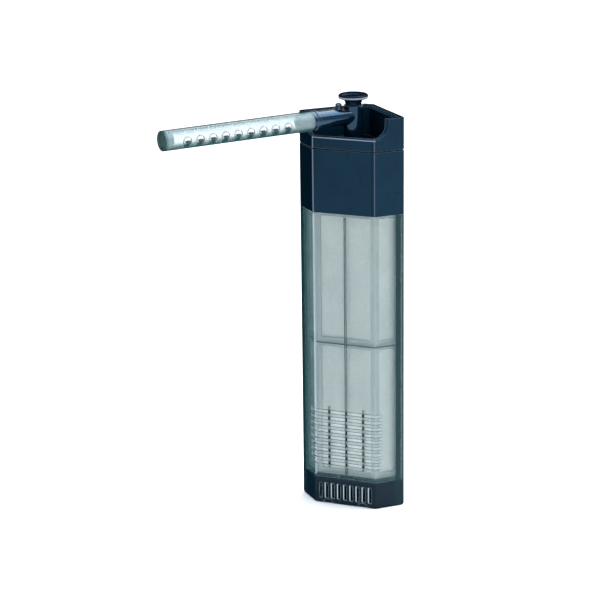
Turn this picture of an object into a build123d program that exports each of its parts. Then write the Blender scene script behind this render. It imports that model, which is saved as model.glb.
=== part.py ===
from build123d import *
import math
import os

# Corner power filter for a small aquarium. Millimetres, +Z up, +Y towards the tank corner.
# The origin lies on the outlet's swivel axis, in the plane that the canister stands on.
# In plan the shell is a square with its front corner cut off at 45 degrees: two glass walls meet at
# the back, two short side walls are square to them, and the front wall joins the side walls.

# Plan of the shell
GLASS_WALL = 51.8             # length of each wall that stands against a pane of glass
SIDE_WALL = 21.4              # length of each side wall
BACK_FLAT = 3.4               # half the width of the flat where the glass walls would meet
AXIS_TO_FRONT = 19.1          # swivel axis to the front face
CORNER_RADIUS = 1.8           # rounding of the upright edges
FOOT_RADIUS = 1.6             # rounding of the canister's lower edge
MIN_RADIUS = 0.5              # rounding of the upright edges on the inner faces

# Heights
CANISTER_HEIGHT = 200.4
HEAD_GAP = 0.1                # joint line between canister and pump head
HOUSING_HEIGHT = 41.9
COVER_HEIGHT = 20.7
FRONT_RIM_HEIGHT = 7.0        # front rim of the top cover above its lower edge

# Canister
SHELL_WALL = 1.8
SHELL_FLOOR = 2.4
RAIL_DEPTH = 1.0              # ribs and rails that keep the baskets off the walls
RAIL_WIDTH = 1.6
RAIL_SPACING = 32.0           # between the two rails on a glass wall
RAIL_TOP_MARGIN = 3.0
CENTRE_RIB_WIDTH = 1.2
GRILLE_RIB_WIDTH = 1.4
GRILLE_RIB_OFFSET = 12.0
GRILLE_COUNT = 9
GRILLE_PITCH = 4.49
GRILLE_SLOT = 2.3
GRILLE_BOTTOM = 27.5
GRILLE_WRAP = 5.8             # reach of the grille round onto each side wall
FOOT_SLOT_COUNT = 9
FOOT_SLOT_PITCH = 4.4
FOOT_SLOT_WIDTH = 1.8
FOOT_SLOT_LOW = 3.6
FOOT_SLOT_HIGH = 14.5
ARCH_WIDTH = 8.0
ARCH_HEIGHT = 3.0
ARCH_DEPTH = 1.1
ARCH_OFFSET = 12.3
LEDGE_TOP = 18.0
LEDGE_THICKNESS = 1.8
LEDGE_REACH = 2.0
LUG_WIDTH = 10.5
LUG_TOP = 20.9
LUG_HEIGHT = 5.2

# Media
GRID_THICKNESS = 2.0
GRID_CLEARANCE = 0.3
MEDIA_SLOT = 2.4
MEDIA_SLOT_PITCH = 5.0
MEDIA_SLOT_MARGIN = 4.5
BASKET_CLEARANCE = 0.25
BASKET_WALL = 0.9
BASKET_FLOOR = 1.2
BASKET_POST = 3.0
BASKET_SILL = 4.0
BASKET_RIM = 2.0
BASKET_BAR = 3.0
BASKET_GAP = 0.3
LOWER_BASKET_HEIGHT = 91.3
FOAM_CLEARANCE = 0.25
FOAM_RADIUS = 2.0
MEDIA_TOP_GAP = 0.5           # upper basket to the pump head

# Suction cups
CUP_RADIUS = 11.0
CUP_DEPTH = 4.5
CUP_LIP = 0.8
CUP_COLLAR = 0.8
CUP_CROWN = 1.65              # middle of the hollow above the wall
CUP_SHOULDER = (8.0, 2.2)     # radius and height of a point on the outside of the bell
CUP_HOLLOW = (5.5, 2.6)       # radius and height of a point in the hollow
CUP_NECK_RADIUS = 3.0
CUP_NECK_CLEARANCE = 0.2
CUP_BUTTON_RADIUS = 4.4
CUP_BUTTON_THICKNESS = 0.9
CUP_FACE_GAP = 0.05
CUP_ABOVE_BASE = 44.5         # lower pair
CUP_BELOW_TOP = 17.4          # upper pair, down from the canister's top

# Pump head
HOUSING_WALL = 2.2
MOTOR_FLOOR = 2.0
ROTOR_Y = 11.9                # rotor axis behind the swivel axis
BLADE_CLEARANCE = 1.6         # blades to the chamber wall
CHAMBER_WALL = 1.4
CHAMBER_DEPTH = 6.4
CHAMBER_COVER = 1.6
COVER_PLATE_FIT = 0.2
CHAMBER_SETBACK = 0.5         # chamber cover above the lower edge of the housing
INTAKE_RADIUS = 5.0
INTAKE_ARM = 1.4
HUB_RADIUS = 2.9
DUCT_BORE = 3.1
DUCT_WALL = 1.2
MAGNET_CLEARANCE = 0.5        # magnet to the rotor well
WELL_WALL = 1.3
WELL_DEPTH = 26.0
WELL_CAP = 3.0
SHAFT_RADIUS = 1.0
LOWER_BUSH_RADIUS = 1.9
LOWER_BUSH_HEIGHT = 2.1
LOWER_BUSH_SEAT = 0.3
UPPER_BUSH_RADIUS = 2.25
UPPER_BUSH_HEIGHT = 2.8
UPPER_BUSH_POCKET = 2.0
TONGUE_WIDTH = 2.8
TONGUE_THICKNESS = 0.85
TONGUE_CLEARANCE = 0.2
TONGUE_LENGTH = 22.5
TONGUE_ROOT = 5.5

# Impeller
BLADE_COUNT = 6
BLADE_RADIUS = 8.6
BLADE_THICKNESS = 1.0
BLADE_HEIGHT = 4.0
BLADE_LIFT = 1.6              # underside of the blades above the chamber cover
IMPELLER_HUB_RADIUS = 2.6
IMPELLER_PLAY = 0.06          # round the shaft
BUSH_PLAY = 0.5
MAGNET_RADIUS = 4.8
MAGNET_LENGTH = 20.0
MAGNET_SLEEVE_RADIUS = 2.0
MAGNET_FIT = 0.05
MAGNET_SEAT_RADIUS = 4.6
MAGNET_SEAT = 1.2
MAGNET_LIFT = 1.0             # magnet above the floor of the motor bay

# Stator
CORE_HEIGHT = 14.0
LEG_WIDTH = 5.0
LEG_INNER = 10.5
YOKE_DEPTH = 8.0              # rear of the yoke behind the front face
POLE_AHEAD = 5.4              # pole shoes in front of the rotor axis
POLE_BEHIND = 6.1
POLE_GAP = 2.0
WELL_CLEARANCE = 0.1
CORE_WALL_GAP = 0.35
BOBBIN_FIT = 0.1
BOBBIN_WALL = 0.8
BOBBIN_REACH = 2.9
BOBBIN_END_GAP = 0.2
WINDING_DEPTH = 2.5
WINDING_RADIUS = 1.5
POTTING_THICKNESS = 5.2
POTTING_CLEARANCE = 0.1

# Cable gland
GLAND_ABOVE_BAY = 11.0
GLAND_RADIUS = 2.35
GLAND_FIT = 0.05
GLAND_BORE = 1.6
GLAND_FLANGE_RADIUS = 3.4
GLAND_FLANGE = 1.3
GLAND_INSIDE = 1.5

# Top cover and its seals
SEAL_THICKNESS = 0.8
SEAL_SETBACK = 0.8
COVER_WALL = 2.0
COVER_LAND = 7.0              # width of the land along each glass wall
COVER_FLOOR = 2.0
CUTOUT_DEPTH = 7.2            # rear limit of the low front behind the front face
CUTOUT_RADIUS = 9.5
RECESS_RADIUS = 3.0
GROOVE_INSET = 3.0
GROOVE_WIDTH = 1.2
GROOVE_DEPTH = 0.6
GROOVE_RADIUS = 0.5
RISER_WALL = 1.4
RISER_HEIGHT = 8.3
RING_GROOVE_DEPTH = 0.7
RING_GROOVE_WIDTH = 1.0
RING_SECTION = 0.38
RING_PLAY = 0.03
RISER_RING_BELOW_TOP = 3.5

# Outlet elbow, all lengths along the arm from the swivel axis
ARM_ANGLE = 232.4             # direction of the arm at rest, seen from above
ARM_ABOVE_FLOOR = 16.8
BARREL_WALL = 1.6
BARREL_LIFT = 0.8
BARREL_HEIGHT = 22.9
SWIVEL_PLAY = 0.1
ARM_RADIUS = 5.75
ARM_BORE = 3.3
ARM_END = 27.6
COLLAR_RADIUS = 6.3
COLLAR_NECK = 5.9
COLLAR_RING = 1.8
COLLAR_GROOVE = 1.0
NIPPLE_RADIUS = 5.0
NIPPLE_LENGTH = 9.0
SCOOP_RADIUS = 3.6
SCOOP_DEPTH = 1.9
SCOOP_PLACE = 7.4
AIR_NIPPLE_RADIUS = 2.1
AIR_NIPPLE_PLACE = 11.2
AIR_NIPPLE_TOP = 9.6          # above the arm's axis
AIR_NIPPLE_BORE = 0.7

# Flow control
PLUG_LIFT = 0.9               # plug above the riser
PLUG_WALL = 1.3
PLUG_CAP = 2.5
PLUG_BELOW_BARREL = 0.6
PLUG_RING_BELOW_TOP = 1.2
STEM_RADIUS = 2.4
STEM_HEIGHT = 3.4
STEM_FIT = 0.05
KNOB_LIFT = 0.3
KNOB_NECK = 5.2
KNOB_WAIST = 7.2
KNOB_BOW = 0.4                # how far the neck swells at half its height
KNOB_RADIUS = 9.65
KNOB_NECK_HEIGHT = 4.2
KNOB_EDGE = 0.4               # rounding of the rim's lower edge
KNOB_RIM = 2.6
KNOB_LIP = 1.1
KNOB_DISH = 1.8
KNOB_DISH_RADIUS = 7.6

# Spray bar
BAR_RADIUS = 6.5
BAR_PLAY = 0.1                # nipple in the bar
BAR_LENGTH = 105.4
BAR_GAP = 0.1
HOLE_COUNT = 9
HOLE_PITCH = 8.98
HOLE_START = 19.7             # first hole from the bar's inner end
HOLE_RADIUS = 2.6
HOLE_ELEVATION = -8.0
CAP_FLANGE = 1.2
CAP_PLUG = 5.0
CAP_FIT = 0.05
CAP_DISH_RADIUS = 4.7
CAP_DISH_DEPTH = 0.6

# Places that follow from the sizes above
DIAGONAL = math.sqrt(0.5)
FRONT_Y = -AXIS_TO_FRONT
FRONT_HALF = (GLASS_WALL - SIDE_WALL) * DIAGONAL
SIDE_BACK = Vector(FRONT_HALF + SIDE_WALL * DIAGONAL, FRONT_Y + SIDE_WALL * DIAGONAL)
GLASS_CORNER_Y = SIDE_BACK.X + SIDE_BACK.Y
BACK_Y = GLASS_CORNER_Y - BACK_FLAT
SIDE_DISTANCE = (FRONT_HALF + AXIS_TO_FRONT) * DIAGONAL
GLASS_DISTANCE = GLASS_CORNER_Y * DIAGONAL
GLASS_MIDDLE = (SIDE_BACK.Y - SIDE_BACK.X + GLASS_CORNER_Y) / 2 * DIAGONAL
HEAD_LOW = CANISTER_HEIGHT + HEAD_GAP
HOUSING_TOP = HEAD_LOW + HOUSING_HEIGHT
COVER_LOW = HOUSING_TOP + SEAL_THICKNESS
COVER_TOP = COVER_LOW + COVER_HEIGHT
CUTOUT_BACK = FRONT_Y + CUTOUT_DEPTH
RECESS_FLOOR = COVER_LOW + COVER_FLOOR
CUP_HEIGHTS = {"lower": CUP_ABOVE_BASE, "upper": CANISTER_HEIGHT - CUP_BELOW_TOP}
MEDIA_INSET = SHELL_WALL + RAIL_DEPTH + BASKET_CLEARANCE
GRID_TOP = LEDGE_TOP + GRID_THICKNESS
LOWER_BASKET_LOW = GRID_TOP + BASKET_GAP
UPPER_BASKET_LOW = LOWER_BASKET_LOW + LOWER_BASKET_HEIGHT + BASKET_GAP
UPPER_BASKET_HEIGHT = HEAD_LOW - MEDIA_TOP_GAP - UPPER_BASKET_LOW
CHAMBER_RADIUS = BLADE_RADIUS + BLADE_CLEARANCE
COVER_PLATE_LOW = HEAD_LOW + CHAMBER_SETBACK
CHAMBER_LOW = COVER_PLATE_LOW + CHAMBER_COVER
CHAMBER_TOP = CHAMBER_LOW + CHAMBER_DEPTH
BAY_FLOOR = CHAMBER_TOP + MOTOR_FLOOR
WELL_TOP = CHAMBER_TOP + WELL_DEPTH
WELL_BORE = MAGNET_RADIUS + MAGNET_CLEARANCE
WELL_RADIUS = WELL_BORE + WELL_WALL
DUCT_RADIUS = DUCT_BORE + DUCT_WALL
MAGNET_LOW = BAY_FLOOR + MAGNET_LIFT
CORE_LOW = MAGNET_LOW + (MAGNET_LENGTH - CORE_HEIGHT) / 2
CORE_TOP = CORE_LOW + CORE_HEIGHT
YOKE_BACK = FRONT_Y + YOKE_DEPTH
POLE_FRONT = ROTOR_Y - POLE_AHEAD
POLE_BACK = ROTOR_Y + POLE_BEHIND
COIL_RISE = BOBBIN_FIT + BOBBIN_WALL + BOBBIN_REACH
ARM_Z = RECESS_FLOOR + ARM_ABOVE_FLOOR
BARREL_LOW = RECESS_FLOOR + BARREL_LIFT
BARREL_TOP = BARREL_LOW + BARREL_HEIGHT
RISER_TOP = RECESS_FLOOR + RISER_HEIGHT
RISER_RADIUS = DUCT_BORE + RISER_WALL
SOCKET_RADIUS = RISER_RADIUS + SWIVEL_PLAY
BARREL_RADIUS = SOCKET_RADIUS + BARREL_WALL
PLUG_PORT = RISER_RADIUS - PLUG_WALL
COLLAR_END = ARM_END + 2 * COLLAR_RING + COLLAR_GROOVE
BAR_BORE = NIPPLE_RADIUS + BAR_PLAY
BAR_START = COLLAR_END + BAR_GAP
BAR_END = BAR_START + BAR_LENGTH
CUT = 1.0                     # how far a cutting solid runs past the face that it opens


def plan_corners(front, side, back, flat):
    """Corners of the shell's plan with each kind of wall moved inwards by its own inset."""
    lines = [(-90, AXIS_TO_FRONT - front), (-45, SIDE_DISTANCE - side), (45, GLASS_DISTANCE - back),
             (90, BACK_Y - flat), (135, GLASS_DISTANCE - back), (225, SIDE_DISTANCE - side)]
    corners = []
    for (angle_a, reach_a), (angle_b, reach_b) in zip(lines, lines[1:] + lines[:1]):
        a = math.radians(angle_a)
        b = math.radians(angle_b)
        x = (reach_a * math.sin(b) - reach_b * math.sin(a)) / math.sin(b - a)
        y = (reach_b * math.cos(a) - reach_a * math.cos(b)) / math.sin(b - a)
        corners.append((x, y))
    return corners


def prism(low, high, front, side, back, flat, radius):
    """Upright prism on the shell's plan, with a separate inset for each kind of wall."""
    outline = make_face(Polyline(*plan_corners(front, side, back, flat), close=True))
    outline = fillet(outline.vertices(), radius)
    return Pos(0, 0, low) * extrude(outline, amount=high - low)


def shell(low, high, inset, radius=None):
    """Upright prism on the shell's plan, moved inwards by the same inset all round."""
    if radius is None:
        radius = max(CORNER_RADIUS - inset, MIN_RADIUS)
    return prism(low, high, inset, inset, inset, inset, radius)


def post(radius, low, high, x=0.0, y=0.0):
    """Upright cylinder between two heights."""
    return Pos(x, y, (low + high) / 2) * Cylinder(radius, high - low)


def block(x_range, y_range, z_range):
    """Box between two limits on each axis."""
    size = [limits[1] - limits[0] for limits in (x_range, y_range, z_range)]
    centre = [(limits[0] + limits[1]) / 2 for limits in (x_range, y_range, z_range)]
    return Pos(*centre) * Box(*size)


def glass_wall_frame(side, along, height):
    """Frame on a glass wall: its Z points out of the shell, its X runs along the wall."""
    x = side * (GLASS_DISTANCE * DIAGONAL - (GLASS_MIDDLE + along) * DIAGONAL)
    y = GLASS_DISTANCE * DIAGONAL + (GLASS_MIDDLE + along) * DIAGONAL
    return Plane(origin=(x, y, height), x_dir=(-side, 1, 0), z_dir=(side, 1, 0))


def side_wall_frame(side, from_front, height):
    """Frame on a side wall: its Z points out of the shell, its X runs to the rear."""
    x = side * (FRONT_HALF + from_front * DIAGONAL)
    y = FRONT_Y + from_front * DIAGONAL
    return Plane(origin=(x, y, height), x_dir=(side, 1, 0), z_dir=(side, -1, 0))


def media_slots(low, high, inset):
    """Row of long slots that lets water through a plate under the media."""
    reach = FRONT_HALF + SIDE_WALL * DIAGONAL - inset - MEDIA_SLOT_MARGIN
    count = int(reach // MEDIA_SLOT_PITCH)
    slots = []
    for index in range(-count, count + 1):
        x = index * MEDIA_SLOT_PITCH
        outer = abs(x) + MEDIA_SLOT / 2
        front = max(FRONT_Y, outer - FRONT_HALF - AXIS_TO_FRONT) + inset + MEDIA_SLOT_MARGIN
        back = min(GLASS_CORNER_Y - outer, BACK_Y) - inset - MEDIA_SLOT_MARGIN
        if back - front > 2 * MEDIA_SLOT:
            slots.append(block((x - MEDIA_SLOT / 2, x + MEDIA_SLOT / 2), (front, back), (low, high)))
    return slots


def grille_slots():
    """Level slots across the front wall that run a little way round both side walls."""
    rear = FRONT_Y + GRILLE_WRAP * DIAGONAL
    reach = FRONT_HALF + SIDE_WALL
    slots = []
    for index in range(GRILLE_COUNT):
        low = GRILLE_BOTTOM + index * GRILLE_PITCH
        ring = shell(low, low + GRILLE_SLOT, -CUT) - shell(low - CUT, low + GRILLE_SLOT + CUT, SHELL_WALL)
        slots.append(ring & block((-reach, reach), (FRONT_Y - 2 * CUT, rear), (low, low + GRILLE_SLOT)))
    return slots


def foot_slots():
    """Upright slots with round tops at the foot of the front wall."""
    depth = (FRONT_Y - CUT, FRONT_Y + SHELL_WALL + CUT)
    radius = FOOT_SLOT_WIDTH / 2
    slots = []
    for index in range(FOOT_SLOT_COUNT):
        x = (index - (FOOT_SLOT_COUNT - 1) / 2) * FOOT_SLOT_PITCH
        slots.append(block((x - radius, x + radius), depth, (FOOT_SLOT_LOW, FOOT_SLOT_HIGH - radius)))
        top = Pos(x, sum(depth) / 2, FOOT_SLOT_HIGH - radius) * Rot(90, 0, 0)
        slots.append(top * Cylinder(radius, depth[1] - depth[0]))
    return slots


def foot_arches():
    """Two shallow arches in the lower edge of the front wall."""
    radius = (ARCH_WIDTH ** 2 / 4 + ARCH_HEIGHT ** 2) / (2 * ARCH_HEIGHT)
    middle = FRONT_Y + (ARCH_DEPTH - CUT) / 2
    arches = []
    for side in (-1, 1):
        place = Pos(side * ARCH_OFFSET, middle, ARCH_HEIGHT - radius) * Rot(90, 0, 0)
        arches.append(place * Cylinder(radius, ARCH_DEPTH + CUT))
    return arches


def front_ribs():
    """Centre rib with its lug, and two short ribs that carry the grille bars."""
    depth = (FRONT_Y + SHELL_WALL / 2, FRONT_Y + SHELL_WALL + RAIL_DEPTH)
    half = CENTRE_RIB_WIDTH / 2
    ribs = [block((-half, half), depth, (LEDGE_TOP, CANISTER_HEIGHT - RAIL_TOP_MARGIN))]
    ribs.append(block((-LUG_WIDTH / 2, LUG_WIDTH / 2), depth, (LUG_TOP - LUG_HEIGHT, LUG_TOP)))
    grille_top = GRILLE_BOTTOM + (GRILLE_COUNT - 1) * GRILLE_PITCH + GRILLE_SLOT
    margin = GRILLE_PITCH - GRILLE_SLOT
    half = GRILLE_RIB_WIDTH / 2
    for x in (-GRILLE_RIB_OFFSET, GRILLE_RIB_OFFSET):
        ribs.append(block((x - half, x + half), depth, (GRILLE_BOTTOM - margin, grille_top + margin)))
    return ribs


def glass_rails():
    """Upright rails inside the glass walls."""
    length = CANISTER_HEIGHT - RAIL_TOP_MARGIN - LEDGE_TOP
    thickness = RAIL_DEPTH + SHELL_WALL / 2
    rails = []
    for side in (-1, 1):
        for along in (-RAIL_SPACING / 2, RAIL_SPACING / 2):
            frame = glass_wall_frame(side, along, LEDGE_TOP + length / 2)
            inwards = Pos(0, 0, -SHELL_WALL / 2 - thickness / 2)
            rails.append(frame * inwards * Box(RAIL_WIDTH, length, thickness))
    return rails


def make_canister():
    """Clear shell, open at the top."""
    body = shell(0, CANISTER_HEIGHT, 0)
    body = fillet(body.faces().sort_by(Axis.Z)[0].edges(), FOOT_RADIUS)
    body -= shell(SHELL_FLOOR, CANISTER_HEIGHT + CUT, SHELL_WALL)
    ledge = shell(LEDGE_TOP - LEDGE_THICKNESS, LEDGE_TOP, SHELL_WALL / 2)
    ledge -= shell(0, CANISTER_HEIGHT, SHELL_WALL + LEDGE_REACH)
    body += [ledge, *front_ribs(), *glass_rails()]
    body -= [*grille_slots(), *foot_slots(), *foot_arches()]
    for side in (-1, 1):
        for height in CUP_HEIGHTS.values():
            frame = glass_wall_frame(side, 0, height)
            body -= frame * Cylinder(CUP_NECK_RADIUS + CUP_NECK_CLEARANCE, 4 * SHELL_WALL)
    return body


def make_media_grid():
    """Slotted shelf that carries the baskets above the inlet chamber."""
    inset = SHELL_WALL + GRID_CLEARANCE
    grid = shell(LEDGE_TOP, GRID_TOP, inset)
    notch = LUG_WIDTH / 2 + GRID_CLEARANCE
    notch_back = FRONT_Y + SHELL_WALL + RAIL_DEPTH + GRID_CLEARANCE
    grid -= block((-notch, notch), (FRONT_Y, notch_back), (0, CANISTER_HEIGHT))
    for side in (-1, 1):
        for along in (-RAIL_SPACING / 2, RAIL_SPACING / 2):
            frame = glass_wall_frame(side, along, LEDGE_TOP)
            reach = 2 * (MEDIA_INSET + GRID_CLEARANCE - BASKET_CLEARANCE)
            grid -= frame * Box(RAIL_WIDTH + 2 * GRID_CLEARANCE, 4 * GRID_THICKNESS, reach)
    grid -= media_slots(0, CANISTER_HEIGHT, inset)
    return grid


def basket_windows(low, high):
    """Openings in the basket's walls, with a post left at each corner."""
    corners = plan_corners(MEDIA_INSET, MEDIA_INSET, MEDIA_INSET, MEDIA_INSET)
    height = high - BASKET_RIM - low - BASKET_SILL
    windows = []
    for (x_a, y_a), (x_b, y_b) in zip(corners, corners[1:] + corners[:1]):
        width = math.hypot(x_b - x_a, y_b - y_a) - 2 * BASKET_POST
        if width > BASKET_POST:
            place = Pos((x_a + x_b) / 2, (y_a + y_b) / 2, low + BASKET_SILL + height / 2)
            turn = Rot(0, 0, math.degrees(math.atan2(y_b - y_a, x_b - x_a)))
            windows.append(place * turn * Box(width, 4 * BASKET_WALL, height))
    return windows


def make_basket(low, height):
    """Open frame that holds one foam block and has a lifting bar across its top."""
    high = low + height
    basket = shell(low, high, MEDIA_INSET)
    basket -= shell(low + BASKET_FLOOR, high + CUT, MEDIA_INSET + BASKET_WALL)
    basket -= basket_windows(low, high)
    basket -= media_slots(low - CUT, low + BASKET_FLOOR + CUT, MEDIA_INSET)
    bar = block((-GLASS_WALL, GLASS_WALL), (-BASKET_BAR / 2, BASKET_BAR / 2), (high - BASKET_FLOOR, high))
    basket += bar & shell(low, high, MEDIA_INSET + BASKET_WALL / 2)
    return basket


def make_foam(low, height):
    """Foam block inside a basket."""
    inset = MEDIA_INSET + BASKET_WALL + FOAM_CLEARANCE
    foam_low = low + BASKET_FLOOR + BASKET_GAP
    foam_high = low + height - BASKET_FLOOR - BASKET_GAP
    return shell(foam_low, foam_high, inset, FOAM_RADIUS)


def make_suction_cup(side, height):
    """Rubber cup whose neck passes through the wall and ends in a button inside it."""
    button_top = -SHELL_WALL - CUP_FACE_GAP
    button_low = button_top - CUP_BUTTON_THICKNESS
    collar_top = CUP_FACE_GAP + CUP_COLLAR
    with BuildSketch(Plane.XZ) as section:
        with BuildLine():
            Polyline((0, CUP_CROWN), (0, button_low), (CUP_BUTTON_RADIUS, button_low),
                     (CUP_BUTTON_RADIUS, button_top), (CUP_NECK_RADIUS, button_top),
                     (CUP_NECK_RADIUS, CUP_FACE_GAP), (CUP_BUTTON_RADIUS, CUP_FACE_GAP),
                     (CUP_BUTTON_RADIUS, collar_top))
            Spline((CUP_BUTTON_RADIUS, collar_top), CUP_SHOULDER, (CUP_RADIUS, CUP_DEPTH))
            Line((CUP_RADIUS, CUP_DEPTH), (CUP_RADIUS - CUP_LIP, CUP_DEPTH))
            Spline((CUP_RADIUS - CUP_LIP, CUP_DEPTH), CUP_HOLLOW, (CUP_NECK_RADIUS, CUP_CROWN))
            Line((CUP_NECK_RADIUS, CUP_CROWN), (0, CUP_CROWN))
        make_face()
    return glass_wall_frame(side, 0, height) * revolve(section.sketch, Axis.Z)


def chamber_outline(margin, low, high):
    """Solid on the plan of the pump chamber and the foot of the duct."""
    body = post(CHAMBER_RADIUS + margin, low, high, y=ROTOR_Y)
    body += post(DUCT_BORE + margin, low, high)
    body += block((-DUCT_BORE - margin, DUCT_BORE + margin), (0, ROTOR_Y / 2), (low, high))
    return body


def make_latch(side):
    """Spring tongue on the pump head that reaches down inside a side wall."""
    from_front = SIDE_WALL - SHELL_WALL - 2 * TONGUE_CLEARANCE - TONGUE_WIDTH / 2
    length = TONGUE_LENGTH + TONGUE_ROOT
    frame = side_wall_frame(side, from_front, HEAD_LOW + TONGUE_ROOT - length / 2)
    place = frame * Pos(0, 0, -SHELL_WALL - TONGUE_CLEARANCE - TONGUE_THICKNESS / 2)
    radius = TONGUE_WIDTH / 2
    straight = length - radius
    up = -side
    tongue = place * Pos(0, up * radius / 2, 0) * Box(TONGUE_WIDTH, straight, TONGUE_THICKNESS)
    tongue += place * Pos(0, -up * (length / 2 - radius), 0) * Cylinder(radius, TONGUE_THICKNESS)
    return tongue - (shell(HEAD_LOW, HOUSING_TOP, 0) - shell(HEAD_LOW - CUT, HOUSING_TOP + CUT, HOUSING_WALL))


def make_motor_housing():
    """Lower shell of the pump head with the chamber, the rotor well and the duct."""
    body = shell(HEAD_LOW, HOUSING_TOP, 0)
    body -= shell(HEAD_LOW - CUT, CHAMBER_TOP, HOUSING_WALL)
    body -= shell(BAY_FLOOR, HOUSING_TOP + CUT, HOUSING_WALL)
    body += chamber_outline(CHAMBER_WALL, CHAMBER_LOW, CHAMBER_TOP)
    body += post(DUCT_RADIUS, CHAMBER_TOP, HOUSING_TOP)
    body += post(WELL_RADIUS, CHAMBER_TOP, WELL_TOP + WELL_CAP, y=ROTOR_Y)
    body -= chamber_outline(0, CHAMBER_LOW - CUT, CHAMBER_TOP)
    body -= post(DUCT_BORE, CHAMBER_LOW, HOUSING_TOP + CUT)
    body -= post(WELL_BORE, CHAMBER_LOW, WELL_TOP, y=ROTOR_Y)
    body -= post(UPPER_BUSH_RADIUS, CHAMBER_LOW, WELL_TOP + UPPER_BUSH_POCKET, y=ROTOR_Y)
    hole = Pos(0, BACK_Y, BAY_FLOOR + GLAND_ABOVE_BAY) * Rot(90, 0, 0)
    body -= hole * Cylinder(GLAND_RADIUS + GLAND_FIT, 3 * HOUSING_WALL)
    return body


def make_chamber_cover():
    """Plate that closes the pump chamber, with the intake and the lower bush seat."""
    plate = chamber_outline(CHAMBER_WALL, COVER_PLATE_LOW, CHAMBER_LOW)
    plate &= shell(COVER_PLATE_LOW, CHAMBER_LOW, HOUSING_WALL + COVER_PLATE_FIT)
    plate -= post(INTAKE_RADIUS, 0, HOUSING_TOP, y=ROTOR_Y)
    plate += post(HUB_RADIUS, COVER_PLATE_LOW, CHAMBER_LOW, y=ROTOR_Y)
    for turn in (90, 210, 330):
        half = INTAKE_ARM / 2
        arm = block((HUB_RADIUS / 2, INTAKE_RADIUS + half), (-half, half), (COVER_PLATE_LOW, CHAMBER_LOW))
        plate += Pos(0, ROTOR_Y, 0) * Rot(0, 0, turn) * arm
    plate -= post(LOWER_BUSH_RADIUS, COVER_PLATE_LOW + LOWER_BUSH_SEAT, HOUSING_TOP, y=ROTOR_Y)
    return plate


def make_lower_bush():
    """Rubber bush that carries the foot of the shaft."""
    low = COVER_PLATE_LOW + LOWER_BUSH_SEAT
    bush = post(LOWER_BUSH_RADIUS, low, low + LOWER_BUSH_HEIGHT, y=ROTOR_Y)
    return bush - post(SHAFT_RADIUS, low + LOWER_BUSH_SEAT, HOUSING_TOP, y=ROTOR_Y)


def make_upper_bush():
    """Rubber bush in the cap of the rotor well."""
    high = WELL_TOP + UPPER_BUSH_POCKET
    bush = post(UPPER_BUSH_RADIUS, high - UPPER_BUSH_HEIGHT, high, y=ROTOR_Y)
    return bush - post(SHAFT_RADIUS, 0, high - LOWER_BUSH_SEAT, y=ROTOR_Y)


def make_impeller_shaft():
    """Ceramic shaft that stands still between the two bushes."""
    low = COVER_PLATE_LOW + 2 * LOWER_BUSH_SEAT
    high = WELL_TOP + UPPER_BUSH_POCKET - LOWER_BUSH_SEAT
    return post(SHAFT_RADIUS, low, high, y=ROTOR_Y)


def make_impeller():
    """Bladed wheel with the sleeve that carries the magnet."""
    bush_top = COVER_PLATE_LOW + LOWER_BUSH_SEAT + LOWER_BUSH_HEIGHT
    wheel = post(IMPELLER_HUB_RADIUS, bush_top + BUSH_PLAY, MAGNET_LOW, y=ROTOR_Y)
    wheel += post(MAGNET_SEAT_RADIUS, MAGNET_LOW - MAGNET_SEAT, MAGNET_LOW, y=ROTOR_Y)
    wheel += post(MAGNET_SLEEVE_RADIUS, MAGNET_LOW, MAGNET_LOW + MAGNET_LENGTH + BUSH_PLAY, y=ROTOR_Y)
    half = BLADE_THICKNESS / 2
    heights = (CHAMBER_LOW + BLADE_LIFT, CHAMBER_LOW + BLADE_LIFT + BLADE_HEIGHT)
    blade = block((IMPELLER_HUB_RADIUS / 2, BLADE_RADIUS), (-half, half), heights)
    for index in range(BLADE_COUNT):
        wheel += Pos(0, ROTOR_Y, 0) * Rot(0, 0, index * 360 / BLADE_COUNT) * blade
    return wheel - post(SHAFT_RADIUS + IMPELLER_PLAY, 0, COVER_TOP, y=ROTOR_Y)


def make_impeller_magnet():
    """Ring magnet on the impeller's sleeve."""
    magnet = post(MAGNET_RADIUS, MAGNET_LOW, MAGNET_LOW + MAGNET_LENGTH, y=ROTOR_Y)
    return magnet - post(MAGNET_SLEEVE_RADIUS + MAGNET_FIT, 0, COVER_TOP, y=ROTOR_Y)


def make_stator_core():
    """Laminated core: a yoke, two legs and two pole shoes that clasp the rotor well."""
    outer = LEG_INNER + LEG_WIDTH
    pole_sum = GLASS_CORNER_Y - (HOUSING_WALL + CORE_WALL_GAP) / DIAGONAL
    yoke_front = YOKE_BACK - LEG_WIDTH + BOBBIN_WALL / 2
    core = block((-outer, outer), (yoke_front, YOKE_BACK), (CORE_LOW, CORE_TOP))
    pole = Polyline((POLE_GAP, POLE_FRONT), (outer, POLE_FRONT), (outer, pole_sum - outer),
                    (pole_sum - POLE_BACK, POLE_BACK), (POLE_GAP, POLE_BACK), close=True)
    shoe = Pos(0, 0, CORE_LOW) * extrude(make_face(pole), amount=CORE_HEIGHT)
    leg = block((LEG_INNER, outer), (YOKE_BACK, POLE_FRONT), (CORE_LOW, CORE_TOP))
    for piece in (shoe, leg):
        core += [piece, piece.mirror(Plane.YZ)]
    return core - post(WELL_RADIUS + WELL_CLEARANCE, 0, COVER_TOP, y=ROTOR_Y)


def coil_frame(side, depth, front, rear):
    """Solid round one leg of the core: the leg's section grown by a depth on all four sides."""
    middle = side * (LEG_INNER + LEG_WIDTH / 2)
    half = LEG_WIDTH / 2 + depth
    return block((middle - half, middle + half), (front, rear), (CORE_LOW - depth, CORE_TOP + depth))


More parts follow.
